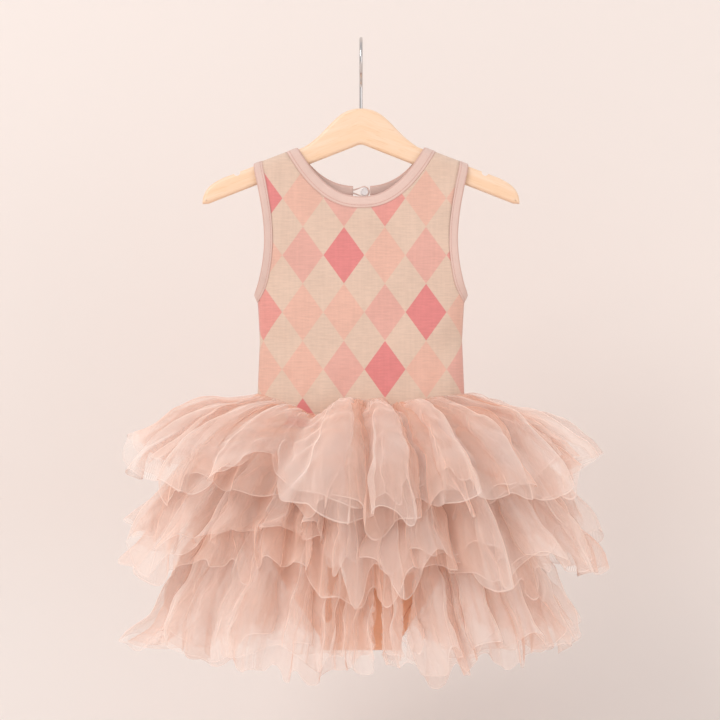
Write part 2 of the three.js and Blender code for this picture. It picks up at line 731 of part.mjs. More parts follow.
// The hook's centre line, in the plane across the hanger: over the rail, round its front and into the stem.
function hookPath() {
  const { radius, backAngle, frontAngle, turnSteps, bendReach, stemTop } = HOOK;
  const centre = HOOK.wireRadius - radius;
  const points = [];
  for (let i = 0; i <= turnSteps; i += 1) {
    const turn = degToRad(lerp(-backAngle, frontAngle, i / turnSteps));
    points.push(new THREE.Vector3(0, -radius * Math.sin(turn), centre + radius * Math.cos(turn)));
  }
  const from = points.at(-1);
  const heading = degToRad(frontAngle);
  const along = new THREE.Vector3(0, -Math.cos(heading), -Math.sin(heading));
  const bend = new THREE.CubicBezierCurve3(
    from,
    from.clone().addScaledVector(along, bendReach),
    new THREE.Vector3(0, 0, stemTop + bendReach),
    new THREE.Vector3(0, 0, stemTop),
  );
  points.push(...bend.getPoints(HOOK.bendSteps).slice(1));
  const stemEnd = HANGER.topLevel - HOOK.stemDepth;
  points.push(new THREE.Vector3(0, 0, (stemTop + stemEnd) / 2), new THREE.Vector3(0, 0, stemEnd));
  return new THREE.CatmullRomCurve3(points, false, "centripetal");
}

function hookGeometry() {
  return new THREE.ExtrudeGeometry(roundSection(HOOK.wireRadius), {
    extrudePath: hookPath(),
    steps: HOOK.steps,
    curveSegments: HOOK.sides,
  });
}

// Assembly

const dress = new THREE.Group();

function addPiece(name, geometry, color, roughness, metalness = 0) {
  const material = new THREE.MeshStandardMaterial({ color, roughness, metalness });
  const mesh = new THREE.Mesh(geometry, material);
  mesh.name = name;
  dress.add(mesh);
  return mesh;
}

addPiece("bodice_front", bodiceCloth("front").wall(JERSEY_WALL, bodyNormal), COLOURS.print, 0.85);
addPiece("bodice_back", bodiceBack(), COLOURS.print, 0.85);
addPiece("neck_binding", neckBinding(), COLOURS.binding, 0.8);
for (const [hand, word] of [[1, "left"], [-1, "right"]]) {
  const arm = openingBinding(armholeLine("edge"), armholeLine("seam"), hand);
  addPiece("armhole_binding_" + word, arm, COLOURS.binding, 0.8);
  const leg = openingBinding(legLine("edge"), legLine("seam"), hand);
  addPiece("leg_binding_" + word, leg, COLOURS.binding, 0.8);
}
addPiece("brief_front", briefCloth("front").wall(JERSEY_WALL, bodyNormal), COLOURS.brief, 0.85);
addPiece("brief_back", briefCloth("back").wall(JERSEY_WALL, bodyNormal), COLOURS.brief, 0.85);
for (const tier of TIERS)
  addPiece(tier.name, tierCloth(tier).wall(TULLE_WALL, levelTop(tier)), COLOURS.tulle, 0.9);

const closureDepth = depthAt(0, BUTTON.level);
const button = addPiece("back_button", buttonGeometry(), COLOURS.pearl, 0.3);
button.position.set(BUTTON.x, closureDepth, BUTTON.level);
button.rotation.z = degToRad(BUTTON.turn);
addPiece("back_button_loop", buttonLoop(closureDepth), COLOURS.pearl, 0.7);

addPiece("hanger", hangerBody(), COLOURS.wood, 0.55);
addPiece("hanger_hook", hookGeometry(), COLOURS.chrome, 0.15, 1);

export default dress;
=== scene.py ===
import contextlib
import math

import bmesh
import bpy
import numpy as np
from mathutils import Matrix, Vector


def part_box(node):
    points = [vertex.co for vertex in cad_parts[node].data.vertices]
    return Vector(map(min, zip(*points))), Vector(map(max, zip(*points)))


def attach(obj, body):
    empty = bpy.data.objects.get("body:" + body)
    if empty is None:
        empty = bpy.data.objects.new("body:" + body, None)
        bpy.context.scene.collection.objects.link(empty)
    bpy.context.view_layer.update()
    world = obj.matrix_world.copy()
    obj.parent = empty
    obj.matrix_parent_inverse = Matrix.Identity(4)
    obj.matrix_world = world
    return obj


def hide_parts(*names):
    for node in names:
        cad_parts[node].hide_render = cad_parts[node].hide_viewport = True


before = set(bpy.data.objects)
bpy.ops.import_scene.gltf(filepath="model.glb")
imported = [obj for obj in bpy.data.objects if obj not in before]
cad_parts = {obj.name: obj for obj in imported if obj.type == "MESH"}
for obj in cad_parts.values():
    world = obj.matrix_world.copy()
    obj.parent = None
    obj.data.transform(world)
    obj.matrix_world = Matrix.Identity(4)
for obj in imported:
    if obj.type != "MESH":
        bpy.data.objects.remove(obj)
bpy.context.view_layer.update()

bl_info = {
    "name": "Tutu Dress",
    "version": (1, 0, 0),
    "blender": (4, 5, 0),
    "location": "3D View > Sidebar > Tutu Dress",
    "description": "Builds a small child's tutu dress on a wooden hanger round its packed solids",
    "category": "Object",
}

# Lengths in the tables are millimetres. +X is the wearer's left, -Y the front, Z the level below the rail.
MM = 0.001
BODY = "root"

WAIST = round(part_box("brief_front")[1].z / MM + 0.15)
UNDERARM = -254.0
HIP = -465.0
CROTCH = -609.0
SEAM_GAP = 0.3
SHOULDER_INNER_X = 63.0
SHOULDER_LEVEL = -107.6
SHOULDER_SLOPE = 0.38
SHOULDER_ROUND = 8.0
SIDE_ROUND = 55.0
BODICE_TUCK = 28.0
CROTCH_ROUND = 14.0

# The body's sections: level, half width at the seams, half depth at the centre line
TORSO = np.array([
    (-609, 106, 14), (-595, 106, 14), (-560, 106, 21), (-465, 106, 25), (-420, 105, 25), (-358, 103, 23),
    (-300, 100.5, 19), (-263, 102.5, 17), (-254, 106, 16), (-200, 106, 12), (-134, 106, 8), (-104, 106, 8),
], float)

# Neck curves: level at the centre line and power of the distance from it
NECK = {
    ("front", "edge"): (-156.5, 2.2), ("front", "seam"): (-168.1, 2.3),
    ("back", "edge"): (-145.0, 2.6), ("back", "seam"): (-156.5, 2.5),
}
NECK_HALF_WIDTH = {"edge": 63.0, "seam": 74.5}
NECK_END = {"left": 9.0, "right": 8.0}
SLIT_TOP_HALF_WIDTH = 7.0
SLIT_HALF_WIDTH = 5.5
SLIT_FOOT = -212.5
SLIT_CUT_DEPTH = 40

# Armhole from the underarm to the shoulder, and leg opening from the hip to the crotch
ARMHOLE = {
    "edge": [(106.5, -253.5), (102.5, -242), (98.3, -222), (96.5, -200), (98.2, -175), (102.5, -150)],
    "seam": [(102.5, -262.5), (94.3, -246.5), (89.5, -224), (87.5, -200), (89.2, -173.5), (93.6, -147)],
}
ARMHOLE_TOP = {"edge": 107.3, "seam": 98.5}
LEG = {
    "edge": [(106, -465), (96, -499), (76, -541), (54, -574), (41, -595)],
    "seam": [(106, -456), (87.5, -494), (67.5, -536), (46, -568), (32, -595)],
}
LEG_BOTTOM = {"edge": 39.0, "seam": 30.0}


# The body's surface

def half_width(level):
    return np.interp(level, TORSO[:, 0], TORSO[:, 1])


def half_depth(level):
    return np.interp(level, TORSO[:, 0], TORSO[:, 2])


def dome(share):
    inward = 1 - np.clip(share, 0, 1)
    return np.sqrt(1 - inward * inward)


def shoulder_line(x):
    return SHOULDER_LEVEL - SHOULDER_SLOPE * (np.abs(x) - SHOULDER_INNER_X)


def depth_at(x, level):
    past_seam = np.maximum(0, np.maximum(level - UNDERARM, HIP - level))
    side_gap = np.hypot(np.maximum(0, half_width(level) - np.abs(x)), past_seam)
    depth = half_depth(level) * dome(side_gap / SIDE_ROUND)
    depth = depth * dome((shoulder_line(x) - level) / SHOULDER_ROUND)
    return depth * dome((level - CROTCH) / CROTCH_ROUND)


def on_body(flat, side):
    """Points (x, level) laid on the body. side is -1 on the front and 1 on the back."""
    flat = np.asarray(flat, float)
    x, level = flat[..., 0], flat[..., 1]
    return np.stack([x, side * np.maximum(SEAM_GAP / 2, depth_at(x, level)), level], axis=-1)


def cloth_x(x, level):
    """How far across the cloth a point lies from the centre line, measured along the surface."""
    x = np.asarray(x, float)
    level = np.asarray(level, float)
    start = 85.0
    steps = 14
    extra = np.zeros(np.broadcast(x, level).shape)
    reach = np.maximum(0, np.abs(x) - start)
    before = depth_at(np.minimum(np.abs(x), start), level)
    for k in range(1, steps + 1):
        here = depth_at(start + reach * k / steps, level)
        run = reach / steps
        extra += np.where(reach > 0, np.hypot(run, here - before), 0)
        before = here
    return np.sign(x) * (np.minimum(np.abs(x), start) + extra)


# Outlines in the plane of the hanger, as rows of (x, level)

def flat_line(x, level):
    return np.stack([np.asarray(x, float), np.asarray(level, float)], axis=-1)


def mirrored(line):
    return (line * (-1, 1))[::-1]


def smooth_line(knots, steps):
    knots = np.asarray(knots, float)
    ends = np.vstack([2 * knots[0] - knots[1], knots, 2 * knots[-1] - knots[-2]])
    points = []
    for k in range(steps + 1):
        place = k / steps * (len(knots) - 1)
        i = min(int(place), len(knots) - 2)
        w = place - i
        p0, p1, p2, p3 = ends[i:i + 4]
        d0, d1, d2 = (math.sqrt(np.linalg.norm(b - a)) for a, b in ((p0, p1), (p1, p2), (p2, p3)))
        t1 = ((p1 - p0) / d0 - (p2 - p0) / (d0 + d1) + (p2 - p1) / d1) * d1
        t2 = ((p2 - p1) / d1 - (p3 - p1) / (d1 + d2) + (p3 - p2) / d2) * d1
        points.append(
            p1 + t1 * w + (3 * p2 - 3 * p1 - 2 * t1 - t2) * w ** 2 + (2 * p1 - 2 * p2 + t1 + t2) * w ** 3
        )
    return np.array(points)


def neck_level(face, kind, x):
    level, power = NECK[face, kind]
    width = NECK_HALF_WIDTH[kind]
    return level + (shoulder_line(width) - level) * (np.abs(x) / width) ** power


def neck_line(face, kind, start_x, steps, arc_steps):
    """From start_x out to the shoulder's rounding and up over it, on the wearer's left."""
    inside, outside = 0.0, NECK_HALF_WIDTH[kind]
    for _ in range(30):
        x = (inside + outside) / 2
        if shoulder_line(x) - neck_level(face, kind, x) > SHOULDER_ROUND:
            inside = x
        else:
            outside = x
    x = np.linspace(start_x, inside, steps + 1)
    return flat_line(x, neck_level(face, kind, x)), over_shoulder(inside, NECK_HALF_WIDTH[kind], arc_steps)


def over_shoulder(base_x, top_x, steps):
    up = np.sin(np.pi / 2 * np.arange(1, steps + 1) / steps)
    x = base_x + (top_x - base_x) * up
    return flat_line(x, shoulder_line(x) - SHOULDER_ROUND * (1 - up))


def under_crotch(base_x, bottom_x, steps):
    down = np.sin(np.pi / 2 * np.arange(1, steps + 1) / steps)
    return flat_line(base_x + (bottom_x - base_x) * down, CROTCH + CROTCH_ROUND * (1 - down))


def armhole_line(kind, steps, arc_steps):
    top_x = ARMHOLE_TOP[kind]
    base = (top_x - 1, shoulder_line(top_x - 1) - SHOULDER_ROUND)
    return smooth_line(ARMHOLE[kind] + [base], steps), over_shoulder(top_x - 1, top_x, arc_steps)


def leg_line(kind, steps, arc_steps):
    side = smooth_line(LEG[kind], steps)
    return side, under_crotch(side[-1][0], LEG_BOTTOM[kind], arc_steps)


def coons(bottom, top, left, right):
    """Fills the space between four outlines that meet at their ends."""
    u = np.linspace(0, 1, len(bottom))[None, :, None]
    v = np.linspace(0, 1, len(left))[:, None, None]
    across = left[:, None] * (1 - u) + right[:, None] * u
    along = bottom[None] * (1 - v) + top[None] * v
    corners = (bottom[0] * (1 - u) + bottom[-1] * u) * (1 - v) + (top[0] * (1 - u) + top[-1] * u) * v
    return across + along - corners


# Meshes

def new_object(name, mesh):
    obj = bpy.data.objects.new(name, mesh)
    bpy.context.scene.collection.objects.link(obj)
    return obj


@contextlib.contextmanager
def editing(mesh):
    """Lends out a mesh for editing, and writes it back."""
    work = bmesh.new()
    work.from_mesh(mesh)
    yield work
    work.to_mesh(mesh)
    work.free()


def face_outward(mesh):
    with editing(mesh) as work:
        bmesh.ops.recalc_face_normals(work, faces=work.faces)


def shade_smooth(mesh):
    mesh.polygons.foreach_set("use_smooth", [True] * len(mesh.polygons))


def new_mesh(name, vertices, faces, uvs=None):
    """A mesh from points and cloth coordinates in millimetres."""
    mesh = bpy.data.meshes.new(name)
    mesh.from_pydata((np.asarray(vertices) * MM).tolist(), [], faces)
    if uvs is not None:
        layer = mesh.uv_layers.new(name="cloth")
        layer.data.foreach_set("uv", (np.asarray(uvs) * MM).astype(np.float32).ravel())
    return mesh


def run_along(points):
    """How far along a line each of its points lies."""
    return np.concatenate([[0], np.cumsum(np.linalg.norm(np.diff(points, axis=0), axis=-1))])


def grid_faces(rows, columns, wrap, start):
    """Corner indexes of a grid's quads, and each corner's row and column, with wrapped columns counted on."""
    last = columns if wrap else columns - 1
    j, i = np.meshgrid(np.arange(rows - 1), np.arange(last), indexing="ij")
    row = np.stack([j, j, j + 1, j + 1], axis=-1).reshape(-1, 4)
    column = np.stack([i, i + 1, i + 1, i], axis=-1).reshape(-1, 4)
    return start + row * columns + column % columns, row, column


def cloth_object(name, grids, wrap=False, merge=False, flip=False):
    """A mesh of one or more grids. Each is (points in millimetres, cloth coordinates in millimetres)."""
    vertices, faces, uvs = [], [], []
    start = 0
    for points, cloth in grids:
        rows, columns = points.shape[:2]
        quads, row, column = grid_faces(rows, columns, wrap, start)
        corner_uv = cloth[row, column]
        if flip:
            quads, corner_uv = quads[:, ::-1], corner_uv[:, ::-1]
        vertices.append(points.reshape(-1, 3))
        faces.append(quads)
        uvs.append(corner_uv.reshape(-1, 2))
        start += rows * columns
    mesh = new_mesh(name, np.concatenate(vertices), np.concatenate(faces).tolist(), np.concatenate(uvs))
    if merge:
        with editing(mesh) as work:
            bmesh.ops.remove_doubles(work, verts=work.verts, dist=0.02 * MM)
    shade_smooth(mesh)
    mesh.update()
    return new_object(name, mesh)


def make_active(obj):
    bpy.ops.object.select_all(action="DESELECT")
    obj.select_set(True)
    bpy.context.view_layer.objects.active = obj


def apply_modifier(obj, name):
    make_active(obj)
    bpy.ops.object.modifier_apply(modifier=name)


def coordinates(obj):
    values = np.zeros(len(obj.data.vertices) * 3)
    obj.data.vertices.foreach_get("co", values)
    return values.reshape(-1, 3)


def set_coordinates(obj, values):
    obj.data.vertices.foreach_set("co", values.astype(np.float32).ravel())
    obj.data.update()


def paint_value(obj, name, values):
    attribute = obj.data.attributes.new(name, "FLOAT", "POINT")
    attribute.data.foreach_set("value", np.asarray(values, np.float32).ravel())


def cut_away(obj, cutter):
    """Cuts one closed piece out of another."""
    cut = obj.modifiers.new("Cut", "BOOLEAN")
    cut.object = cutter
    cut.operation = "DIFFERENCE"
    cut.solver = "EXACT"
    apply_modifier(obj, "Cut")
    bpy.data.objects.remove(cutter)


def curve_mesh(name, points, dimensions, **settings):
    """A mesh from a line of points in millimetres and a curve's settings."""
    curve = bpy.data.curves.new(name, "CURVE")
    curve.dimensions = dimensions
    spline = curve.splines.new("POLY")
    spline.points.add(len(points) - 1)
    for point, place in zip(spline.points, points):
        point.co = (*[v * MM for v in place], 1)
    spline.use_cyclic_u = dimensions == "2D"
    for key, value in settings.items():
        setattr(curve, key, value)
    make_active(new_object(name, curve))
    bpy.ops.object.convert(target="MESH")
    return bpy.context.view_layer.objects.active


def thicken(obj, wall):
    solid = obj.modifiers.new("Wall", "SOLIDIFY")
    solid.thickness = wall
    solid.offset = 0
    solid.use_even_offset = False
    solid.use_rim = True


def smoothed(obj, levels):
    smooth = obj.modifiers.new("Smooth", "SUBSURF")
    smooth.levels = levels
    smooth.render_levels = levels


def finish_piece(obj, nodes, material):
    obj.data.materials.clear()
    obj.data.materials.append(material)
    if nodes:
        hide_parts(*nodes)
    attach(obj, BODY)


# Creases, each (x, level) to (x, level), width, height. A height below 0 is a trough.

BODICE_CREASES = {
    "front": [
        (-98, -262, -70, -292, 9, 1.6), (-100, -272, -76, -316, 8, -1.3), (98, -264, 66, -300, 10, 1.5),
        (101, -280, 74, -330, 8, -1.2), (-88, -150, -80, -222, 10, 1.0), (86, -146, 79, -214, 9, 1.1),
        (-78, -128, -62, -190, 8, -0.8), (76, -130, 64, -184, 8, -0.9), (-52, -176, 40, -181, 9, 0.7),
        (-40, -190, 58, -196, 11, -0.6), (-90, -338, -86, -360, 5, 1.4), (-74, -330, -72, -360, 6, -1.5),
        (-60, -340, -58, -360, 5, 1.3), (-46, -326, -47, -360, 6, -1.2), (-31, -338, -30, -360, 5, 1.3),
        (-17, -332, -15, -360, 6, -1.4), (-2, -341, -3, -360, 5, 1.2), (13, -328, 14, -360, 6, -1.3),
        (28, -339, 27, -360, 5, 1.4), (44, -333, 45, -360, 6, -1.3), (58, -342, 59, -360, 5, 1.2),
        (73, -329, 71, -360, 6, -1.5), (88, -337, 87, -360, 5, 1.3), (-60, -232, 10, -244, 14, 0.7),
        (-20, -280, 62, -268, 16, -0.7), (-84, -300, -30, -308, 15, 0.6),
    ],
    "back": [
        (-96, -264, -60, -298, 10, 1.5), (99, -266, 70, -306, 9, 1.6), (-100, -284, -78, -330, 8, -1.2),
        (100, -288, 72, -334, 8, -1.2), (-84, -148, -76, -214, 10, 1.0), (88, -150, 80, -220, 9, 1.0),
        (-92, -336, -88, -360, 5, -1.4), (-70, -328, -71, -360, 6, 1.4), (-52, -339, -51, -360, 5, -1.2),
        (-34, -330, -35, -360, 6, 1.3), (-14, -338, -13, -360, 5, -1.3), (6, -327, 5, -360, 6, 1.3),
        (24, -340, 25, -360, 5, -1.2), (41, -331, 42, -360, 6, 1.4), (60, -338, 59, -360, 5, -1.4),
        (79, -329, 80, -360, 6, 1.3), (-14, -214, -44, -262, 9, 0.9), (15, -216, 40, -256, 9, 0.8),
        (-50, -290, 30, -300, 16, 0.7),
    ],
}
BRIEF_CREASES = {
    "front": [
        (-84, -360, -78, -430, 8, 1.5), (-60, -360, -58, -410, 7, -1.3), (-30, -360, -34, -440, 8, 1.3),
        (-4, -360, 2, -420, 7, -1.2), (26, -360, 24, -436, 8, 1.4), (54, -360, 58, -415, 7, -1.3),
        (82, -360, 78, -434, 8, 1.5), (-30, -570, -62, -520, 8, -1.4), (30, -572, 60, -516, 8, -1.5),
        (-14, -590, -46, -500, 9, 1.2), (12, -592, 44, -505, 9, 1.2), (-70, -480, 0, -468, 15, 0.8),
    ],
    "back": [
        (-80, -360, -76, -426, 8, -1.5), (-52, -360, -54, -416, 7, 1.3), (-24, -360, -20, -434, 8, -1.3),
        (6, -360, 4, -424, 7, 1.2), (34, -360, 38, -438, 8, -1.4), (62, -360, 60, -412, 7, 1.4),
        (-34, -572, -60, -510, 9, 1.6), (28, -570, 58, -512, 9, 1.5), (-8, -590, -30, -500, 9, -1.2),
        (14, -590, 34, -498, 9, -1.3), (-50, -470, 50, -462, 16, 0.9),
    ],
}


def crease_height(creases, x, level):
    """The height of all creases at each point, each fading out towards its ends."""
    height = np.zeros(np.shape(x))
    for x0, z0, x1, z1, width, rise in creases:
        dx, dz = x1 - x0, z1 - z0
        share = np.clip(((x - x0) * dx + (level - z0) * dz) / (dx * dx + dz * dz), -0.15, 1.15)
        gap = np.hypot(x - x0 - share * dx, level - z0 - share * dz)
        fade = np.clip((1.15 - np.abs(share * 2 - 1)) / 0.6, 0, 1)
        height += rise * np.exp(-((gap / width) ** 2)) * fade * fade * (3 - 2 * fade)
    return height


def creased(points, side, creases):
    """Lifts the creases off the body, and lets them die out where front and back meet."""
    x, y, level = points[..., 0], points[..., 1], points[..., 2]
    fade = np.clip(np.abs(y) / 5.0, 0, 1)
    moved = points.copy()
    moved[..., 1] += side * fade * crease_height(creases, x, level)
    return moved


# Panels

def panel_grids(main, strips, side, creases, cloth_shift):
    grids = []
    for flat in [main, *strips]:
        cloth = np.stack([cloth_x(flat[..., 0], flat[..., 1]) + cloth_shift, flat[..., 1]], axis=-1)
        grids.append((creased(on_body(flat, side), side, creases), cloth))
    return grids


def bodice_panel(face):
    side = -1 if face == "front" else 1
    neck, neck_arc = neck_line(face, "seam", 0, 22, 6)
    arm, arm_arc = armhole_line("seam", 30, 6)
    neck_steps = len(neck) - 1
    arm[0] = (half_width(arm[0][1]), arm[0][1])
    waist = WAIST - BODICE_TUCK
    levels = np.linspace(waist, arm[0][1], 20)[:-1]
    right = np.vstack([flat_line(half_width(levels), levels), arm])
    shoulder_x = np.linspace(neck[-1][0], arm[-1][0], 9)[1:-1]
    top_half = np.vstack([neck, flat_line(shoulder_x, shoulder_line(shoulder_x) - SHOULDER_ROUND), arm[-1:]])
    top = np.vstack([mirrored(top_half), top_half[1:]])
    across = np.sin(np.radians(np.linspace(-90, 90, len(top))))
    bottom = flat_line(across * half_width(waist), np.full(len(top), waist))
    main = coons(bottom, top, right * (-1, 1), right)
    base = top_half[neck_steps:]
    share = np.linspace(0, 1, len(base))[:, None]
    strip = np.array([base] + [a * (1 - share) + b * share for a, b in zip(neck_arc, arm_arc)])
    left_strip = (strip * (-1, 1))[:, ::-1]
    shift = 0.0 if face == "front" else 122.4
    grids = panel_grids(main, [strip, left_strip], side, BODICE_CREASES[face], shift)
    return cloth_object("bodice_" + face + "_cloth", grids, merge=True, flip=side > 0)


def brief_panel(face):
    side = -1 if face == "front" else 1
    leg, leg_arc = leg_line("seam", 30, 6)
    leg[0] = (half_width(leg[0][1]), leg[0][1])
    waist = WAIST - BODICE_TUCK - SEAM_GAP
    inner = np.linspace(-leg[-1][0], leg[-1][0], 13)[1:-1]
    bottom = np.vstack([leg * (-1, 1), flat_line(inner, np.full(len(inner), leg[-1][1])), leg[::-1]])
    levels = np.linspace(leg[0][1], waist, 24)
    right = flat_line(half_width(levels), levels)
    across = np.sin(np.radians(np.linspace(-90, 90, len(bottom))))
    top = flat_line(across * half_width(waist), np.full(len(bottom), waist))
    main = coons(bottom, top, right * (-1, 1), right)
    count = len(inner) + 2
    rows = [flat_line(np.linspace(-x, x, count), np.full(count, level)) for x, level in leg_arc[::-1]]
    rows.append(bottom[len(leg) - 1:len(leg) - 1 + count])
    grids = panel_grids(main, [np.array(rows)], side, BRIEF_CREASES[face], 0.0)
    return cloth_object("brief_" + face + "_cloth", grids, merge=True, flip=side > 0)


def cut_slit(obj):
    """Cuts the centre back slit out of the back panel's cloth."""
    top, foot = NECK["back", "seam"][0] + 14, SLIT_FOOT
    side = smooth_line([(SLIT_TOP_HALF_WIDTH, top), (SLIT_HALF_WIDTH, (top + foot) / 2),
                        (SLIT_HALF_WIDTH * 0.45, foot + 7), (0, foot)], 12)
    outline = np.vstack([side, mirrored(side)[1:]])
    count = len(outline)
    places = [(x, y, z) for y in (0, SLIT_CUT_DEPTH) for x, z in outline]
    sides = [(k, (k + 1) % count, (k + 1) % count + count, k + count) for k in range(count)]
    ends = [tuple(range(count))[::-1], tuple(range(count, 2 * count))]
    mesh = new_mesh("slit_cutter", places, ends + sides)
    face_outward(mesh)
    cut_away(obj, new_object("slit_cutter", mesh))


# Bindings

def tangents(points, axis, wrap=False):
    if wrap:
        return np.roll(points, -1, axis) - np.roll(points, 1, axis)
    return np.gradient(points, axis=axis)


def unit(vectors):
    return vectors / np.maximum(np.linalg.norm(vectors, axis=-1, keepdims=True), 1e-9)


BAND_SHARES = np.array([0.0, 0.06, 0.16, 0.3, 0.45, 0.6, 0.7, 0.76, 0.82, 0.9, 0.97, 1.03])
BAND_FULL = np.array([0.0, 0.62, 0.94, 1.0, 1.0, 0.98, 0.92, 0.78, 0.9, 0.86, 0.6, 0.0])
STITCH_SHARE = 0.76
# How strongly painted shade darkens the binding at each groove, by share of its width
BAND_GROOVE_SHADES = {0.06: 0.8, 0.76: 1.0, 0.97: 0.6, 1.03: 1.0}
BAND_TURN = 1.0


def band_rows(pairs, shares):
    """Mid-surface points of a band from its (edge, seam, side) rows, at each share of its width."""
    rows = []
    for edge, seam, side in pairs:
        flat = edge[None] * (1 - shares[:, None]) + seam[None] * shares[:, None]
        point = on_body(flat, side if side else 1)
        if not side:
            point[:, 1] = 0
        rows.append(point)
    return np.array(rows)


def band_normals(points, wrap):
    along = tangents(points, 0, wrap)
    across = tangents(points, 1)
    normals = unit(np.cross(along, across))
    outward = points - np.array([0, 0, -300.0])
    outward[..., 2] *= 0.3
    if np.sum(np.median(np.sum(normals * outward, axis=-1), axis=1) > 0) < len(points) / 2:
        normals = -normals
    return normals


def band_object(name, pairs, wall, wrap, seed):
    """A folded binding with a full edge, a stitched groove and a thin seam side, its stitch line and size."""
    middle = band_rows(pairs, BAND_SHARES)
    normals = band_normals(middle, wrap)
    rows = len(middle)
    run = run_along(middle[:, 5])
    closing = np.linalg.norm(middle[0, 5] - middle[-1, 5]) if wrap else 0
    rng = np.random.default_rng(seed)
    phase = rng.uniform(0, 6.28, 4)
    pucker = 0.10 * np.sin(run * 2.1 + phase[0]) + 0.12 * np.sin(run * 0.83 + phase[1])
    wave = 0.35 * np.sin(run * 0.12 + phase[2]) + 0.2 * np.sin(run * 0.31 + phase[3])
    half = wall / 2 * BAND_FULL
    lift = pucker[:, None] * np.exp(-((BAND_SHARES - STITCH_SHARE) / 0.1) ** 2) + wave[:, None] * 0.5
    outer = middle + normals * (half[None] + lift)[..., None]
    inner = middle + normals * (-half[None] + lift)[..., None]
    loop = np.concatenate([outer, inner[:, -2:0:-1]], axis=1)
    width = np.linalg.norm(middle[:, -1] - middle[:, 0], axis=-1).mean()
    shares = np.concatenate([BAND_SHARES, 2.06 - BAND_SHARES[-2:0:-1], [2.06]])
    lengths = np.concatenate([run, [run[-1] + closing]]) if wrap else run
    cloth = np.stack(np.meshgrid(lengths, shares * width, indexing="ij"), axis=-1)
    count = loop.shape[1]
    last = rows if wrap else rows - 1
    faces, uvs = [], []
    for j in range(last):
        for i in range(count):
            corners = [(j, i), (j + 1, i), (j + 1, i + 1), (j, i + 1)]
            faces.append([(a % rows) * count + b % count for a, b in corners])
            uvs += [cloth[a, b] for a, b in corners]
    if not wrap:
        for j in (0, rows - 1):
            cap = [j * count + i for i in range(count)]
            faces.append(cap if j else cap[::-1])
            uvs += [cloth[j, i] for i in (range(count) if j else range(count - 1, -1, -1))]
    mesh = new_mesh(name, loop.reshape(-1, 3), faces, uvs)
    face_outward(mesh)
    shade_smooth(mesh)
    obj = new_object(name, mesh)
    # Marks the binding's grooves and seam edge for painted shade
    groove = np.array([BAND_GROOVE_SHADES.get(round(s, 2), 0) for s in BAND_SHARES])
    paint_value(obj, "groove", np.tile(np.concatenate([groove, groove[-2:0:-1]]), rows))
    column = int(np.argmin(np.abs(BAND_SHARES - STITCH_SHARE)))
    return obj, (outer[:, column], normals[:, column], wrap), (width + BAND_TURN, run[-1])


def opening_pairs(edge_line, seam_line, hand):
    edge = np.vstack(edge_line)
    seam = np.vstack(seam_line)
    turn = np.array([hand, 1.0])
    pairs = [(edge[0] * turn, seam[0] * turn, 0)]
    pairs += [(e * turn, s * turn, -1) for e, s in zip(edge[1:-1], seam[1:-1])]
    pairs.append((edge[-1] * turn, seam[-1] * turn, 0))
    pairs += [(e * turn, s * turn, 1) for e, s in zip(edge[-2:0:-1], seam[-2:0:-1])]
    return pairs


def neck_pairs():
    halves = []
    for hand, end in ((1, NECK_END["left"]), (-1, NECK_END["right"])):
        turn = np.array([hand, 1.0])
        back_edge, back_seam = (np.vstack(neck_line("back", kind, end, 34, 7)) for kind in ("edge", "seam"))
        front_edge, front_seam = (np.vstack(neck_line("front", kind, 0, 46, 7)) for kind in ("edge", "seam"))
        half = [(e * turn, s * turn, 1) for e, s in zip(back_edge[:-1], back_seam[:-1])]
        half.append((front_edge[-1] * turn, front_seam[-1] * turn, 0))
        half += [(e * turn, s * turn, -1) for e, s in zip(front_edge[-2::-1], front_seam[-2::-1])]
        halves.append(half)
    return halves[0] + halves[1][-2::-1]


STITCH_PITCH = 3.1
STITCH_LENGTH = 2.3
STITCH_RADIUS = 0.26


def stitch_object(name, lines):
    """All stitches of a seam as one mesh: short six-sided threads with pointed ends, half sunk in."""
    vertices, faces = [], []
    profile = [(-0.5, 0.0), (-0.36, 0.8), (0.0, 1.0), (0.36, 0.8), (0.5, 0.0)]
    for points, normals, wrap in lines:
        if wrap:
            points = np.vstack([points, points[:1]])
            normals = np.vstack([normals, normals[:1]])
        run = run_along(points)
        count = int(run[-1] / STITCH_PITCH)
        for k in range(count):
            middle = (k + 0.5) * run[-1] / count
            place, ahead, normal = (
                np.array([np.interp(at, run, rows[:, a]) for a in range(3)])
                for at, rows in ((middle, points), (middle + 1, points), (middle, normals)))
            normal = unit(normal)
            along = unit(ahead - place)
            side = np.cross(along, normal)
            start = len(vertices)
            vertices.append(place + along * profile[0][0] * STITCH_LENGTH)
            for share, full in profile[1:-1]:
                for turn in np.arange(6) * np.pi / 3:
                    ring = side * math.cos(turn) + normal * math.sin(turn)
                    vertices.append(place + along * share * STITCH_LENGTH + ring * full * STITCH_RADIUS)
            vertices.append(place + along * profile[-1][0] * STITCH_LENGTH)
            end = len(vertices) - 1
            for i in range(6):
                n = (i + 1) % 6
                faces.append((start, start + 1 + n, start + 1 + i))
                for ring in (0, 6):
                    a = start + 1 + ring
                    faces.append((a + i, a + n, a + 6 + n, a + 6 + i))
                faces.append((end, end - 6 + i, end - 6 + n))
    mesh = new_mesh(name, vertices, faces)
    face_outward(mesh)
    shade_smooth(mesh)
    return new_object(name, mesh)
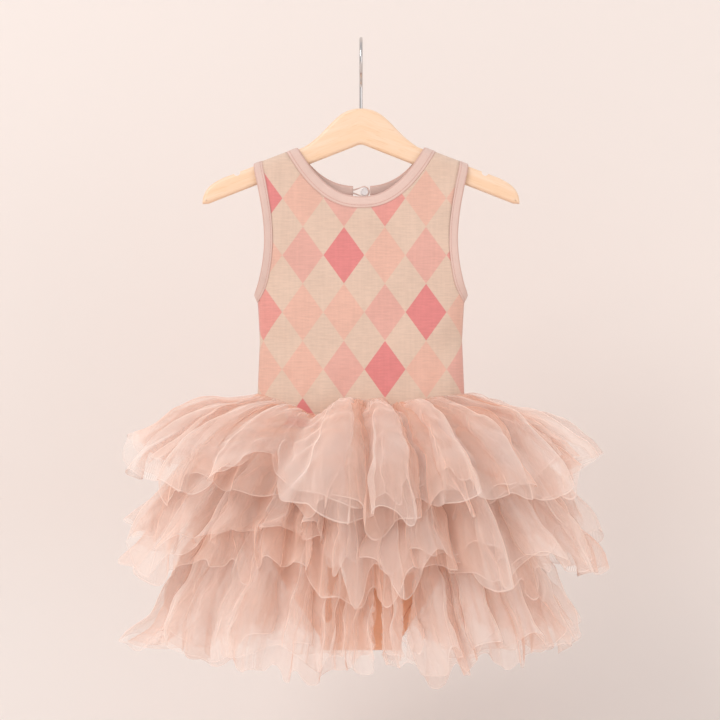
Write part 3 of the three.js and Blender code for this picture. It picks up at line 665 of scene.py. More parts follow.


# Tulle

# Each tier: its spread to the sides and to the front, its fall below the seam by reach, at the front and at
# the sides. Then, listed across the front: the crests of its folds (x, height), its narrow ridges (x, height,
# width), how far down the hem comes (x, share), the points where it hangs lower (x, extra, width), the height
# of its upper edge (x, rise), its smooth stretches (x, width) and the gaps between its folds (x, level) to
# (x, level), half width at each
TIERS = {
    "top": {
        "level": WAIST, "spread": (237, 124),
        "profile": [(0, 0, 0), (0.2, 2, -1), (0.46, 16, 6), (0.68, 40, 18), (0.9, 82, 46), (1, 122, 86)],
        "folds": [(-226, 8), (-186, 11), (-138, 10), (-28, 26), (30, 12), (98, 25), (158, 12), (198, 12),
                  (228, 8)],
        "ridges": [(32, 12, 9), (-58, 7, 9), (8, 6, 8), (60, 6, 9), (140, -8, 12), (-96, -10, 20),
                   (-160, 6, 12)],
        "hems": [(-230, 0.97), (-186, 0.93), (-138, 0.86), (-98, 0.73), (-62, 0.93), (-20, 0.98),
                 (12, 0.93), (32, 1.0), (52, 0.93), (98, 0.98), (135, 0.93), (170, 0.97), (228, 0.96)],
        "drips": [(32, 4, 10)],
        "seam": [(-102, 4), (-85, -1), (-72, -7), (-62, -20), (-53, -21), (-44, -25), (-38, -19), (-27, -7),
                 (-14, 1), (5, -2), (21, 1), (27, -7), (43, -4), (53, -7), (69, 1), (102, 3)],
        "calm": [(-180, 60), (98, 40), (-28, 30)],
    },
    "middle": {
        "level": WAIST - 34, "spread": (243, 110),
        "profile": [(0, 0, 0), (0.2, 9, 3), (0.5, 42, 28), (0.76, 84, 66), (0.92, 122, 104), (1, 160, 142)],
        "folds": [(-232, 9), (-200, 11), (-158, 13), (-102, 10), (-58, 14), (-14, 14), (26, 10), (68, 15),
                  (134, 22), (184, 12), (226, 9)],
        "ridges": [(-20, 9, 8), (2, 7, 7), (44, 8, 8), (136, 8, 10), (96, -8, 12), (-80, -7, 12),
                   (-215, 6, 9)],
        "hems": [(-232, 0.9), (-196, 0.96), (-160, 0.9), (-112, 0.7), (-70, 0.76), (-42, 0.9), (-14, 1.0),
                 (8, 0.88), (34, 0.98), (70, 0.86), (104, 0.9), (134, 0.98), (172, 0.9), (204, 0.98),
                 (230, 0.96)],
        "drips": [(-18, 7, 12), (38, 7, 11), (138, 4, 14)],
        "calm": [(-200, 40), (120, 40)],
    },
    "bottom": {
        "level": WAIST - 68, "spread": (222, 94),
        "profile": [(0, 0, 0), (0.18, 18, 12), (0.42, 64, 50), (0.66, 112, 100), (0.86, 159, 149),
                    (1, 200, 187)],
        "folds": [(-206, 9), (-122, 26), (-62, 12), (-34, 10), (-8, 11), (20, 10), (46, 11), (84, 13),
                  (128, 18), (176, 13), (210, 9)],
        "ridges": [(-46, 8, 6), (-22, 6, 6), (-8, 8, 6), (10, 6, 5), (33, 7, 6), (56, 9, 6), (79, 8, 5),
                   (104, 6, 8)],
        "hems": [(-208, 0.92), (-160, 0.95), (-124, 0.93), (-84, 0.9), (-50, 0.94), (-26, 0.9), (-6, 0.94),
                 (20, 0.92), (44, 0.91), (66, 0.94), (96, 0.92), (140, 0.9), (180, 0.9), (210, 0.92)],
        "drips": [(-46, 8, 8), (-8, 8, 8), (56, 6, 7), (79, 6, 6)],
        "calm": [(-122, 52), (140, 44)],
        "gaps": [(16, -512, 17, -640, 3, 6), (47, -526, 41, -606, 7, 0), (-25, -500, -32, -574, 8, 0)],
    },
}
SHEETS = 3
SHEET_SHORTER = (0.0, 0.1, 0.05)
SHEET_COLUMNS = 400
SHEET_ROWS = 28
TOP_EDGE = 1.5
PUFF = 5.0
TIER_CLEARANCE = 1.2
FRONT_REACH = 120.0
BY_HAND = (1.0, 0.55, 0.3)
BACK_HEMS = 12
SECOND_FOLDS = 40
GATHERS = 110

# How the cloth simulation treats the tulle, for how many frames, and how far it may move a point
TULLE_CLOTH = {
    "quality": 5, "mass": 0.05, "air_damping": 1.0, "tension_stiffness": 14, "compression_stiffness": 14,
    "shear_stiffness": 4, "bending_stiffness": 0.02, "shrink_min": -0.05, "vertex_group_mass": "held",
    "pin_stiffness": 0.6,
}
SETTLE_GRAVITY = 0.2
SETTLE_FRAMES = 8
SETTLE_REACH = 10
PIN_STEPS = 40


def body_ring(level, angle, clearance):
    width = half_width(level) + clearance
    depth = half_depth(level) + clearance
    x = width * np.cos(angle)
    return x, -np.sign(np.sin(angle)) * depth * dome((width - np.abs(x)) / SIDE_ROUND)


def tier_surface(tier, angle, reach, spread_share, drop_share):
    """A tier's smooth flare at each angle and reach. Angle 0 is the wearer's left, 90 degrees the front."""
    profile = smooth_line(tier["profile"], 60)
    seam_x, seam_y = body_ring(tier["level"], angle, TIER_CLEARANCE)
    side = np.cos(angle) ** 2
    within = np.clip(reach, 0, 1)
    past = reach - within
    front = np.interp(within, profile[:, 0], profile[:, 1]) + past * 330
    sideways = np.interp(within, profile[:, 0], profile[:, 2]) + past * 330
    drop = (front + (sideways - front) * side) * drop_share
    spread_x, spread_y = (v * spread_share for v in tier["spread"])
    outward = np.minimum(reach, 1) + 0.3 * past
    x = seam_x + (spread_x * np.cos(angle) - seam_x) * outward
    y = seam_y + (-spread_y * np.sin(angle) - seam_y) * outward
    return np.stack([x, y, tier["level"] - drop], axis=-1)


def ring_wave(rng, low, high, count):
    """An uneven wave round the ring, near -1 to 1, of random waves that repeat from low to high times."""
    waves = []
    for _ in range(count):
        waves.append((int(rng.integers(low, high + 1)), rng.uniform(0, 2 * np.pi), rng.uniform(0.5, 1)))
    total = math.sqrt(sum(w[2] ** 2 for w in waves) / 2) * 1.6

    def value(share):
        return sum(size * np.sin(2 * np.pi * turns * share + phase) for turns, phase, size in waves) / total

    return value


def fold_phase(crests, share):
    """A phase that grows by 2 pi from each crest to the next, round the ring."""
    crests = np.sort(np.asarray(crests))
    turns = np.arange(len(crests) + 2) - 1
    places = np.concatenate([[crests[-1] - 1], crests, [crests[0] + 1]])
    return 2 * np.pi * np.interp(share % 1.0, places, turns)


def round_trip(places, values, share):
    """Smooth values between places round the ring."""
    order = np.argsort(places)
    p = np.asarray(places)[order]
    v = np.asarray(values, float)[order]
    p = np.concatenate([[p[-1] - 1], p, [p[0] + 1]])
    v = np.concatenate([[v[-1]], v, [v[0]]])
    at = share % 1.0
    i = np.clip(np.searchsorted(p, at, side="right") - 1, 0, len(p) - 2)
    w = (at - p[i]) / (p[i + 1] - p[i])
    w = w * w * (3 - 2 * w)
    return v[i] * (1 - w) + v[i + 1] * w


def uneven_places(rng, count, jitter):
    return np.sort((np.arange(count) + rng.uniform(-jitter, jitter, count)) / count)


def full_fold(phase):
    """A full rounded head with a narrower valley, from -1 to 1."""
    return 2.0 * np.sqrt(np.cos(phase / 2) ** 2 * 0.94 + 0.06) ** 1.3 - 1.0


def main_folds(tier, layer, rng, front_share):
    """The places and sizes of the main folds: as listed across the front, and uneven round the back."""
    places, sizes = [], []
    for x, size in tier["folds"]:
        places.append(front_share(x + rng.uniform(-1, 1) * 12 * layer))
        sizes.append(size * rng.uniform(1 - 0.3 * layer, 1 + 0.2 * layer))
    front_end, back_end = max(places), 1 + min(places)
    back_count = int(rng.integers(11, 14))
    gaps = rng.uniform(0.6, 1.5, back_count + 1)
    steps = front_end + (back_end - front_end) * np.cumsum(gaps)[:-1] / gaps.sum()
    places += [float(s % 1) for s in steps]
    sizes += list(rng.uniform(9, 20, back_count))
    return places, sizes


def hem_reach(tier, layer, rng, around, front_share, bump):
    """How far down the hem comes round the ring, lower at some places than at others."""
    places = [front_share(x) for x, value in tier["hems"]]
    values = [1 + (value - 1) * BY_HAND[layer] for x, value in tier["hems"]]
    last, first = max(places), 1 + min(places)
    behind = last + (first - last) * (np.arange(1, BACK_HEMS + 1) / (BACK_HEMS + 1))
    places += list(behind % 1.0)
    values += list(rng.uniform(0.86, 0.99, BACK_HEMS))
    grow = round_trip(places, values, around) - SHEET_SHORTER[layer]
    ragged = 1.0 + 1.4 * (layer > 0)
    long_waves = 0.016 * ragged * ring_wave(rng, 5, 13, 6)(around)
    grow += long_waves + 0.009 * ragged * ring_wave(rng, 18, 40, 8)(around)
    for x, extra, width in tier["drips"]:
        grow += extra / 200 * bump(x, width) * BY_HAND[layer]
    return np.where(grow > 0.96, 0.96 + 0.5 * (grow - 0.96), grow)


def tulle_sheet(key, layer, seed):
    """One gathered sheet of a tier, as a grid of points and cloth coordinates."""
    tier = TIERS[key]
    rng = np.random.default_rng(seed)
    reach_rows = np.linspace(0, 1, SHEET_ROWS) ** 0.9

    # Columns lie evenly along the ring at two thirds of the reach
    fine = np.linspace(0, 2 * np.pi, 2001)
    ring = tier_surface(tier, fine, np.full_like(fine, 0.67), 1, 1)
    run = run_along(ring)
    length = run[-1]
    share_of = run / length
    share = np.arange(SHEET_COLUMNS) / SHEET_COLUMNS

    def front_share(x):
        return float(np.interp(math.acos(np.clip(x / tier["spread"][0], -0.995, 0.995)), fine, share_of))

    places, sizes = main_folds(tier, layer, rng, front_share)
    rows, columns = len(reach_rows), SHEET_COLUMNS
    reach = np.repeat(reach_rows[:, None], columns, axis=1)
    around = np.repeat(share[None], rows, axis=0)
    sway = ring_wave(rng, 3, 8, 5)
    sway_down = ring_wave(rng, 2, 6, 4)
    bent = around + 0.020 * sway(around + 0.08 * reach) * (reach - 0.35)
    bent += 0.009 * sway_down(around) * np.sin(5 * reach + rng.uniform(0, 6)) * reach
    phase = fold_phase(places, bent)
    size = round_trip(places, sizes, bent)

    def bump(x, width):
        at = front_share(x + 10 * layer * rng.uniform(-1, 1))
        off = np.abs((around - at + 0.5) % 1.0 - 0.5) * length
        return np.exp(-((off / width) ** 2))

    by_hand = BY_HAND[layer]
    reach_real = reach * (1 + (hem_reach(tier, layer, rng, around, front_share, bump) - 1) * reach)
    angle = np.interp(bent % 1.0, share_of, fine)
    base = tier_surface(tier, angle, reach_real, 1 - 0.03 * layer, 1 - 0.015 * layer)
    base[..., 2] -= layer * 6 * reach
    along = unit(tangents(base, 1, True))
    outward = unit(np.cross(np.gradient(base, axis=0), along))
    if np.mean(outward[rows // 2, :, 2]) < 0:
        outward = -outward

    ease = reach ** 0.7
    spacing = length / len(places)
    height = size * ease * full_fold(phase)
    for x, rise, width in tier["ridges"]:
        height += rise * bump(x, width) * by_hand * reach ** 0.9
    calm = np.ones_like(reach)
    for x, width in tier["calm"]:
        calm -= 0.8 * bump(x, width) * by_hand
    calm = np.clip(calm, 0.15, 1)
    shift = spacing * 0.10 * np.sin(2 * phase) * ease + 0.5 * height * ring_wave(rng, 8, 18, 6)(bent)

    second_places = uneven_places(rng, SECOND_FOLDS, 0.45)
    second = fold_phase(second_places, bent + 0.008 * sway(2 * around) * reach)
    second_size = round_trip(second_places, rng.uniform(0.6, 4.5, SECOND_FOLDS), bent)
    mid = np.clip(reach / 0.3, 0, 1)
    height = height + calm * second_size * mid * np.cos(second) * (0.6 + 0.4 * reach)

    # Tight gathers at the seam open out on the way down
    gather_places = uneven_places(rng, GATHERS, 0.42)
    gather_size = round_trip(gather_places, rng.uniform(0.6, 2.6, GATHERS), around)
    near = np.exp(-(((reach - 0.12) / 0.2) ** 2)) * np.clip(reach / 0.04, 0, 1)
    height = height + gather_size * near * np.cos(fold_phase(gather_places, bent))
    fine_wave = ring_wave(rng, 70, 130, 14)
    height = height + calm * 0.5 * fine_wave(around + 0.01 * np.sin(9 * reach)) * (0.3 + 0.7 * reach)

    # Stretches of the hem curl out or under
    curl = np.clip((reach - 0.78) / 0.22, 0, 1.1) ** 2
    height = height + 11 * ring_wave(rng, 6, 15, 6)(around + 0.02 * reach) * curl

    points = base + outward * height[..., None] + along * shift[..., None]
    points += crumple(points, rng, reach) * (0.45 + 0.55 * calm)[..., None]
    puff = np.exp(-(((reach - 0.1) / 0.075) ** 2)) * (0.55 + 0.45 * np.cos(phase))
    puff *= np.clip(reach / 0.03, 0, 1)
    points[..., 2] += PUFF * puff * (1 + 0.35 * ring_wave(rng, 9, 23, 6)(around))
    points[..., 2] += TOP_EDGE * np.clip(1 - reach / 0.04, 0, 1)
    if "seam" in tier:
        seam_angle = np.interp(around, share, np.interp(share, share_of, fine))
        at_seam = half_width(tier["level"]) * np.cos(seam_angle)
        front = np.clip(np.sin(seam_angle) * 12, 0, 1)
        rise = np.interp(at_seam, [x for x, _ in tier["seam"]], [rise for _, rise in tier["seam"]])
        points[..., 2] += rise * front * np.clip(1 - reach / 0.24, 0, 1) ** 1.5
    past = np.maximum(0, np.abs(points[..., 1]) - FRONT_REACH)
    points[..., 1] -= np.sign(points[..., 1]) * past * 0.65
    cloth_u = np.concatenate([share, [1.0]]) * length * 2.3
    row_steps = np.mean(np.linalg.norm(np.diff(base, axis=0), axis=-1), axis=1)
    cloth_v = np.concatenate([[0], np.cumsum(row_steps)])
    cloth_v -= cloth_v[-1]
    return points, np.stack(np.meshgrid(cloth_u, cloth_v), axis=-1), reach


def soft_noise(points, rng, wavelength, count=5, sharp=False):
    """Uneven waves through space, near -1 to 1, one set for each axis."""
    moved = np.zeros_like(points)
    for _ in range(count):
        heading, push, bend = (unit(rng.normal(size=3)) for _ in range(3))
        turn = 2 * np.pi / (wavelength * rng.uniform(0.75, 1.35))
        phase = points @ heading * turn + 1.3 * np.sin(points @ bend * turn * 0.45 + rng.uniform(0, 6))
        wave = np.sin(phase + rng.uniform(0, 6))
        if sharp:
            wave = 1 - 2 * np.abs(wave)
        moved += push * (wave / math.sqrt(count))[..., None]
    return moved


def crumple(points, rng, reach):
    """Soft facets and finer creases, which grow towards the hem."""
    moved = 5.5 * soft_noise(points, rng, 110) + 3.4 * soft_noise(points, rng, 60)
    moved += 2.4 * soft_noise(points, rng, 62, 4, True) + 0.9 * soft_noise(points, rng, 30, 4, True)
    moved += 0.25 * soft_noise(points, rng, 15, 4, True)
    return moved * np.clip(reach / 0.4, 0, 1)[..., None]


def part_folds(obj, gaps):
    """Opens the cloth at the front where its folds hang apart."""

    def apart(face):
        x, y, level = face.calc_center_median() / MM
        for x0, z0, x1, z1, wide0, wide1 in gaps:
            share = (z0 - level) / (z0 - z1)
            if y < 0 and 0 < share < 1 and abs(x - x0 - (x1 - x0) * share) < wide0 + (wide1 - wide0) * share:
                return True
        return False

    with editing(obj.data) as work:
        bmesh.ops.delete(work, geom=[face for face in work.faces if apart(face)], context="FACES")


def settle(obj, held):
    """Lets the sheet buckle and hang a little by cloth simulation, and keeps each point near its start."""
    before = coordinates(obj)
    group = obj.vertex_groups.new(name="held")
    levels = np.round(held * PIN_STEPS).astype(int)
    for value in np.unique(levels):
        chosen = np.nonzero(levels == value)[0].tolist()
        group.add(chosen, float(value) / PIN_STEPS, "REPLACE")
    cloth = obj.modifiers.new("Cloth", "CLOTH")
    for key, value in TULLE_CLOTH.items():
        setattr(cloth.settings, key, value)
    cloth.settings.effector_weights.gravity = SETTLE_GRAVITY
    cloth.collision_settings.use_collision = False
    cloth.collision_settings.use_self_collision = False
    cloth.point_cache.frame_start = 1
    cloth.point_cache.frame_end = SETTLE_FRAMES
    scene = bpy.context.scene
    for number in range(1, SETTLE_FRAMES + 1):
        scene.frame_set(number)
    apply_modifier(obj, "Cloth")
    scene.frame_set(1)
    obj.vertex_groups.clear()
    moved = coordinates(obj) - before
    far = np.linalg.norm(moved, axis=1, keepdims=True)
    moved *= np.minimum(1, SETTLE_REACH * MM / np.maximum(far, 1e-9))
    moved *= np.clip(1.05 - held.reshape(-1, 1), 0, 1)
    set_coordinates(obj, before + moved)


# Button, its loop of two strands, and hanger

BUTTON_RADIUS = 4.2
BUTTON_TURN = math.radians(20)
STRAND_RADIUS = 0.46
STRAND_OFFSET = 0.42
HANGER_TOP = -68.0
HANGER_CROTCH = -103.5
HANGER_THICKNESS = 10.0
HANGER_CLEARANCE = 1.5
HOOK_RADIUS = 21.5
HOOK_WIRE = 1.7


def bezier(p0, p1, p2, p3, steps):
    t = np.linspace(0, 1, steps + 1)[1:, None]
    p0, p1, p2, p3 = (np.asarray(p, float) for p in (p0, p1, p2, p3))
    return p0 * (1 - t) ** 3 + 3 * p1 * t * (1 - t) ** 2 + 3 * p2 * t * t * (1 - t) + p3 * t ** 3


def hanger_outline():
    foot = shoulder_line(57) - HANGER_CLEARANCE
    arm_end = shoulder_line(138) - HANGER_CLEARANCE
    half = [np.array([(0.0, HANGER_TOP)])]
    half.append(bezier((0, HANGER_TOP), (26, HANGER_TOP), (30, foot + 17), (57, foot), 26))
    half.append(np.array([(x, shoulder_line(x) - HANGER_CLEARANCE) for x in np.linspace(66, 138, 9)]))
    half.append(bezier((138, arm_end), (150.5, arm_end - 6), (158.5, -149.5), (158.5, -163.5), 14))
    under = 158.5 - 6
    half.append(np.array([(under, HANGER_CROTCH - 0.392 * under)]))
    half.append(np.array([(x, HANGER_CROTCH - 0.392 * x) for x in np.linspace(140, 10, 14)]))
    low = HANGER_CROTCH - 0.6
    half.append(bezier((10, HANGER_CROTCH - 3.92), (5, HANGER_CROTCH - 1.96), (3, low), (0, low), 5))
    half = np.vstack(half)
    return np.vstack([half, (half[1:-1] * (-1, 1))[::-1]])


def flat_body(name, outline, depth, bevel):
    """A board cut to an outline, with rounded edges, as a mesh."""
    obj = curve_mesh(
        name, [(x, z, 0) for x, z in outline], "2D", fill_mode="BOTH", extrude=(depth / 2 - bevel) * MM,
        bevel_depth=bevel * MM, offset=-bevel * MM, bevel_resolution=4)
    obj.data.transform(Matrix.Rotation(math.radians(90), 4, "X"))
    with editing(obj.data) as work:
        bmesh.ops.remove_doubles(work, verts=work.verts, dist=0.01 * MM)
        bmesh.ops.recalc_face_normals(work, faces=work.faces)
    return obj


def drill(obj, radius, length, place, turned):
    bpy.ops.object.select_all(action="DESELECT")
    turn = (math.radians(90), 0, 0) if turned else (0, 0, 0)
    bpy.ops.mesh.primitive_cylinder_add(
        vertices=32, radius=radius * MM, depth=length * MM, location=[v * MM for v in place], rotation=turn)
    cut_away(obj, bpy.context.view_layer.objects.active)


def tube_object(name, path, radius, sides):
    """A round wire along a path, as a mesh."""
    obj = curve_mesh(name, path, "3D", bevel_depth=radius * MM, bevel_resolution=sides, use_fill_caps=True)
    bpy.ops.object.shade_smooth_by_angle(angle=math.radians(50))
    return obj


def hook_path():
    centre = HOOK_WIRE - HOOK_RADIUS
    turns = np.radians(np.linspace(-98, 125, 72))
    round_part = np.stack(
        [0 * turns, -HOOK_RADIUS * np.sin(turns), centre + HOOK_RADIUS * np.cos(turns)], axis=-1)
    heading = math.radians(125)
    start = round_part[-1]
    along = np.array([0, -math.cos(heading), -math.sin(heading)])
    bend = bezier(start, start + along * 9, (0, 0, -39), (0, 0, -48), 14)
    return np.vstack([round_part, bend, [(0, 0, -62), (0, 0, -86)]])


# Materials

class Graph:
    """A node tree, with one short call for each kind of node."""

    def __init__(self, tree):
        self.tree = tree

    def feed(self, node, inputs):
        """Links or sets each input of a node."""
        for name, value in inputs.items():
            if isinstance(value, bpy.types.NodeSocket):
                self.tree.links.new(value, node.inputs[name])
            else:
                node.inputs[name].default_value = value

    def put(self, kind, inputs=None, **settings):
        node = self.tree.nodes.new(kind)
        for name, value in settings.items():
            setattr(node, name, value)
        self.feed(node, inputs or {})
        return node

    def calc(self, operation, a, b=0.0, c=0.0):
        return self.put("ShaderNodeMath", {0: a, 1: b, 2: c}, operation=operation).outputs[0]

    def plus(self, a, b):
        return self.calc("ADD", a, b)

    def times(self, a, b):
        return self.calc("MULTIPLY", a, b)

    def mix(self, share, a, b, blend="MIX"):
        inputs = {0: share, 6: a, 7: b}
        return self.put("ShaderNodeMix", inputs, data_type="RGBA", blend_type=blend).outputs[2]

    def remap(self, value, low, high, to_low, to_high):
        inputs = {0: value, 1: low, 2: high, 3: to_low, 4: to_high}
        return self.put("ShaderNodeMapRange", inputs).outputs[0]

    def noise(self, vector, scale, detail, **more):
        inputs = {"Vector": vector, "Scale": scale, "Detail": detail, **more}
        return self.put("ShaderNodeTexNoise", inputs).outputs[0]

    def split(self, vector):
        return self.put("ShaderNodeSeparateXYZ", {0: vector}).outputs

    def join(self, *parts):
        return self.put("ShaderNodeCombineXYZ", dict(enumerate(parts))).outputs[0]

    def place(self):
        return self.put("ShaderNodeTexCoord").outputs["Object"]

    def cloth(self):
        return self.put("ShaderNodeUVMap", uv_map="cloth").outputs[0]

    def painted(self, name):
        return self.put("ShaderNodeAttribute", attribute_name=name).outputs["Fac"]

    def bump(self, strength, depth, height):
        inputs = {"Strength": strength, "Distance": depth * MM, "Height": height}
        return self.put("ShaderNodeBump", inputs).outputs[0]


def new_material(name, **values):
    material = bpy.data.materials.new(name)
    material.use_nodes = True
    material.node_tree.nodes.clear()
    graph = Graph(material.node_tree)
    shader = graph.put("ShaderNodeBsdfPrincipled")
    graph.put("ShaderNodeOutputMaterial", {0: shader.outputs[0]})
    graph.feed(shader, {key.replace("_", " "): value for key, value in values.items()})
    return material, graph, shader


def new_group(name, inputs, outputs):
    """A node group that takes cloth coordinates and some numbers, with its input and output node."""
    tree = bpy.data.node_groups.new(name, "ShaderNodeTree")
    tree.interface.new_socket(name="Cloth", in_out="INPUT", socket_type="NodeSocketVector")
    for key, value in inputs.items():
        socket = tree.interface.new_socket(name=key, in_out="INPUT", socket_type="NodeSocketFloat")
        socket.default_value = value
    for key in outputs:
        tree.interface.new_socket(name=key, in_out="OUTPUT", socket_type="NodeSocketFloat")
    graph = Graph(tree)
    return graph, graph.put("NodeGroupInput"), graph.put("NodeGroupOutput")


def linear(code):
    """The linear colour of a six-digit code."""
    parts = [int(code[k:k + 2], 16) / 255 for k in (0, 2, 4)]
    return tuple(v / 12.92 if v <= 0.04045 else ((v + 0.055) / 1.055) ** 2.4 for v in parts) + (1.0,)


def darker(colour, share):
    return tuple(v * share for v in colour[:3]) + (1.0,)


def knit_group():
    """Fine jersey: a tone from uneven yarn and a height from the rows of loops."""
    if "Fine knit" in bpy.data.node_groups:
        return bpy.data.node_groups["Fine knit"]
    counts = {"Rows per metre": 900.0, "Columns per metre": 700.0, "Slub": 0.5}
    graph, inside, out = new_group("Fine knit", counts, ["Tone", "Height"])
    across, up, _ = graph.split(inside.outputs["Cloth"])
    yarn = graph.join(graph.times(across, 90.0), graph.times(up, 620.0))
    ribs = graph.join(graph.times(across, 420.0), graph.times(up, 24.0))
    slub_tone = graph.remap(graph.noise(yarn, 1.0, 3.0, Roughness=0.55), 0.3, 0.7, -1.0, 1.0)
    wale_tone = graph.remap(graph.noise(ribs, 1.0, 2.0), 0.3, 0.7, -0.45, 0.45)
    blotch_tone = graph.remap(graph.noise(inside.outputs["Cloth"], 26.0, 2.0), 0.3, 0.7, -0.5, 0.5)
    yarn_tone = graph.times(graph.plus(slub_tone, wale_tone), inside.outputs["Slub"])

    def wave(along, per_metre):
        return graph.calc("SINE", graph.times(graph.times(along, inside.outputs[per_metre]), 6.2832))

    rows = wave(up, "Rows per metre")
    columns = wave(across, "Columns per metre")
    loops = graph.plus(graph.times(rows, 0.6), graph.times(columns, 0.4))
    height = graph.plus(loops, graph.times(slub_tone, 0.8))
    graph.feed(out, {"Tone": graph.plus(yarn_tone, blotch_tone), "Height": height})
    return graph.tree


def add_knit(graph, shader, colour, counts, depth, tone_share):
    """Lays the knit over a colour: its tone on the colour and its loops as bump."""
    knit = graph.put("ShaderNodeGroup", node_tree=knit_group())
    inputs = dict(zip(("Rows per metre", "Columns per metre", "Slub"), counts))
    graph.feed(knit, {"Cloth": graph.cloth(), **inputs})
    bright = graph.remap(knit.outputs["Tone"], -1.0, 1.0, 1 - tone_share, 1 + tone_share)
    shade = graph.put("ShaderNodeCombineColor", {0: bright, 1: bright, 2: bright}).outputs[0]
    toned = graph.mix(1.0, colour, shade, "MULTIPLY")
    bump = graph.bump(0.5, depth, knit.outputs["Height"])
    graph.feed(shader, {"Base Color": toned, "Normal": bump})


# The print: coloured diamonds, corner to corner, with plain ones between them. None lie on the shoulders
DIAMOND_WIDTH = 40.8
DIAMOND_HEIGHT = 56.75
DIAMOND_FIRST_X = -98.6
DIAMOND_FIRST_LEVEL = -158.5
DIAMOND_CHART = ["rpkcpp", "pkrpkc", "cppkrp", "ppkrpk", "prppkp"]


def printed_jersey(settings):
    material, graph, shader = new_material(
        "Printed jersey", Roughness=0.88, Sheen_Weight=0.25, Sheen_Roughness=0.5, Specular_IOR_Level=0.25)
    tints = {"p": settings.pale, "k": settings.peach, "c": settings.coral, "r": settings.rose}
    cloth = graph.cloth()
    soft = graph.remap(graph.noise(cloth, 420.0, 1.0), 0, 1, -0.006, 0.006)
    side, up, _ = graph.split(cloth)
    across = graph.calc("MULTIPLY_ADD", side, 1 / (DIAMOND_WIDTH * MM), -DIAMOND_FIRST_X / DIAMOND_WIDTH)
    across = graph.plus(across, soft)
    down = graph.calc("MULTIPLY_ADD", up, -1 / (DIAMOND_HEIGHT * MM), DIAMOND_FIRST_LEVEL / DIAMOND_HEIGHT)
    column = graph.calc("ROUND", across)
    row = graph.calc("ROUND", down)
    off_across, off_down = (
        graph.calc("ABSOLUTE", graph.calc("SUBTRACT", a, b)) for a, b in ((across, column), (down, row)))
    printed = graph.calc("GREATER_THAN", row, -0.5)
    inside = graph.times(graph.remap(graph.plus(off_across, off_down), 0.488, 0.506, 1.0, 0.0), printed)
    wide, high = len(DIAMOND_CHART[0]), len(DIAMOND_CHART)
    row, column = graph.calc("FLOORED_MODULO", row, high), graph.calc("FLOORED_MODULO", column, wide)
    number = graph.calc("MULTIPLY_ADD", row, wide, column)
    place = graph.calc("MULTIPLY_ADD", number, 1 / (wide * high), 0.5 / (wide * high))
    ramp = graph.put("ShaderNodeValToRGB", {0: place})
    ramp.color_ramp.interpolation = "CONSTANT"
    letters = "".join(DIAMOND_CHART)
    elements = ramp.color_ramp.elements
    elements.remove(elements[1])
    elements[0].position = 0
    elements[0].color = tints[letters[0]]
    for k, letter in enumerate(letters[1:], 1):
        elements.new(k / len(letters)).color = tints[letter]
    colour = graph.mix(inside, settings.cream, ramp.outputs[0])
    add_knit(graph, shader, colour, (1100.0, 800.0, 0.9), 0.10, 0.06)
    return material


def plain_cloth(name, colour, counts, depth, tone_share):
    material, graph, shader = new_material(
        name, Roughness=0.88, Sheen_Weight=0.3, Sheen_Roughness=0.5, Specular_IOR_Level=0.25)
    worn = graph.remap(graph.noise(graph.place(), 16.0, 3.0), 0.35, 0.65, 0, 1)
    base = graph.mix(worn, colour, darker(colour, 0.9))
    # Painted shade: a darker, redder copy of the colour along the grooves that the bands mark
    shade = (colour[0] * 0.78, colour[1] * 0.58, colour[2] * 0.54, 1.0)
    base = graph.mix(graph.times(graph.painted("groove"), 0.75), base, shade)
    add_knit(graph, shader, base, counts, depth, tone_share)
    return material


def net_group():
    """Sheer net: how much thread lies at each place, from 0.75 in its holes to 1.3 on its threads."""
    if "Net" in bpy.data.node_groups:
        return bpy.data.node_groups["Net"]
    graph, inside, out = new_group("Net", {"Cells per metre": 640.0}, ["Thread"])
    across, up, _ = graph.split(inside.outputs["Cloth"])
    turn = graph.times(inside.outputs["Cells per metre"], math.pi)
    left, right = (
        graph.calc("SINE", graph.times(graph.calc(name, across, up), turn)) for name in ("ADD", "SUBTRACT"))
    holes = graph.calc("ABSOLUTE", graph.times(left, right))
    graph.feed(out, {"Thread": graph.remap(holes, 0.0, 0.8, 1.3, 0.75)})
    return graph.tree


def tulle_material(settings):
    """Net that covers more where it is seen at a slant, and along its cut hem."""
    material, graph, shader = new_material(
        "Tulle", Roughness=0.8, Sheen_Weight=0.5, Sheen_Roughness=0.5, Sheen_Tint=(1, 0.84, 0.76, 1),
        Specular_IOR_Level=0.1)
    cloth = graph.cloth()
    hem = graph.remap(graph.split(cloth)[1], -1.5 * MM, -0.7 * MM, 0.0, 1.0)
    tint = graph.mix(graph.painted("tone"), settings.tulle_light, settings.tulle_dark)
    # Painted shade: the inner layers near the seam take a deeper, more saturated peach in place of light lost
    # between the layers
    tint = graph.mix(graph.painted("inner"), tint, settings.tulle_depth_shade)
    tint = graph.mix(graph.times(hem, 0.7), tint, settings.tulle_hem)
    net = graph.put("ShaderNodeGroup", node_tree=net_group())
    graph.feed(net, {"Cloth": cloth})
    facing = graph.put("ShaderNodeLayerWeight", {"Blend": 0.5}).outputs["Facing"]
    slant = graph.calc("MAXIMUM", graph.calc("SUBTRACT", 1.0, facing), 0.08)
    see = graph.calc("POWER", 1 - settings.density, graph.calc("DIVIDE", net.outputs[0], slant))
    cover = graph.calc("MAXIMUM", graph.calc("SUBTRACT", 1.0, see), graph.times(hem, 0.5))
    graph.feed(shader, {"Base Color": tint, "Alpha": cover})
    return material


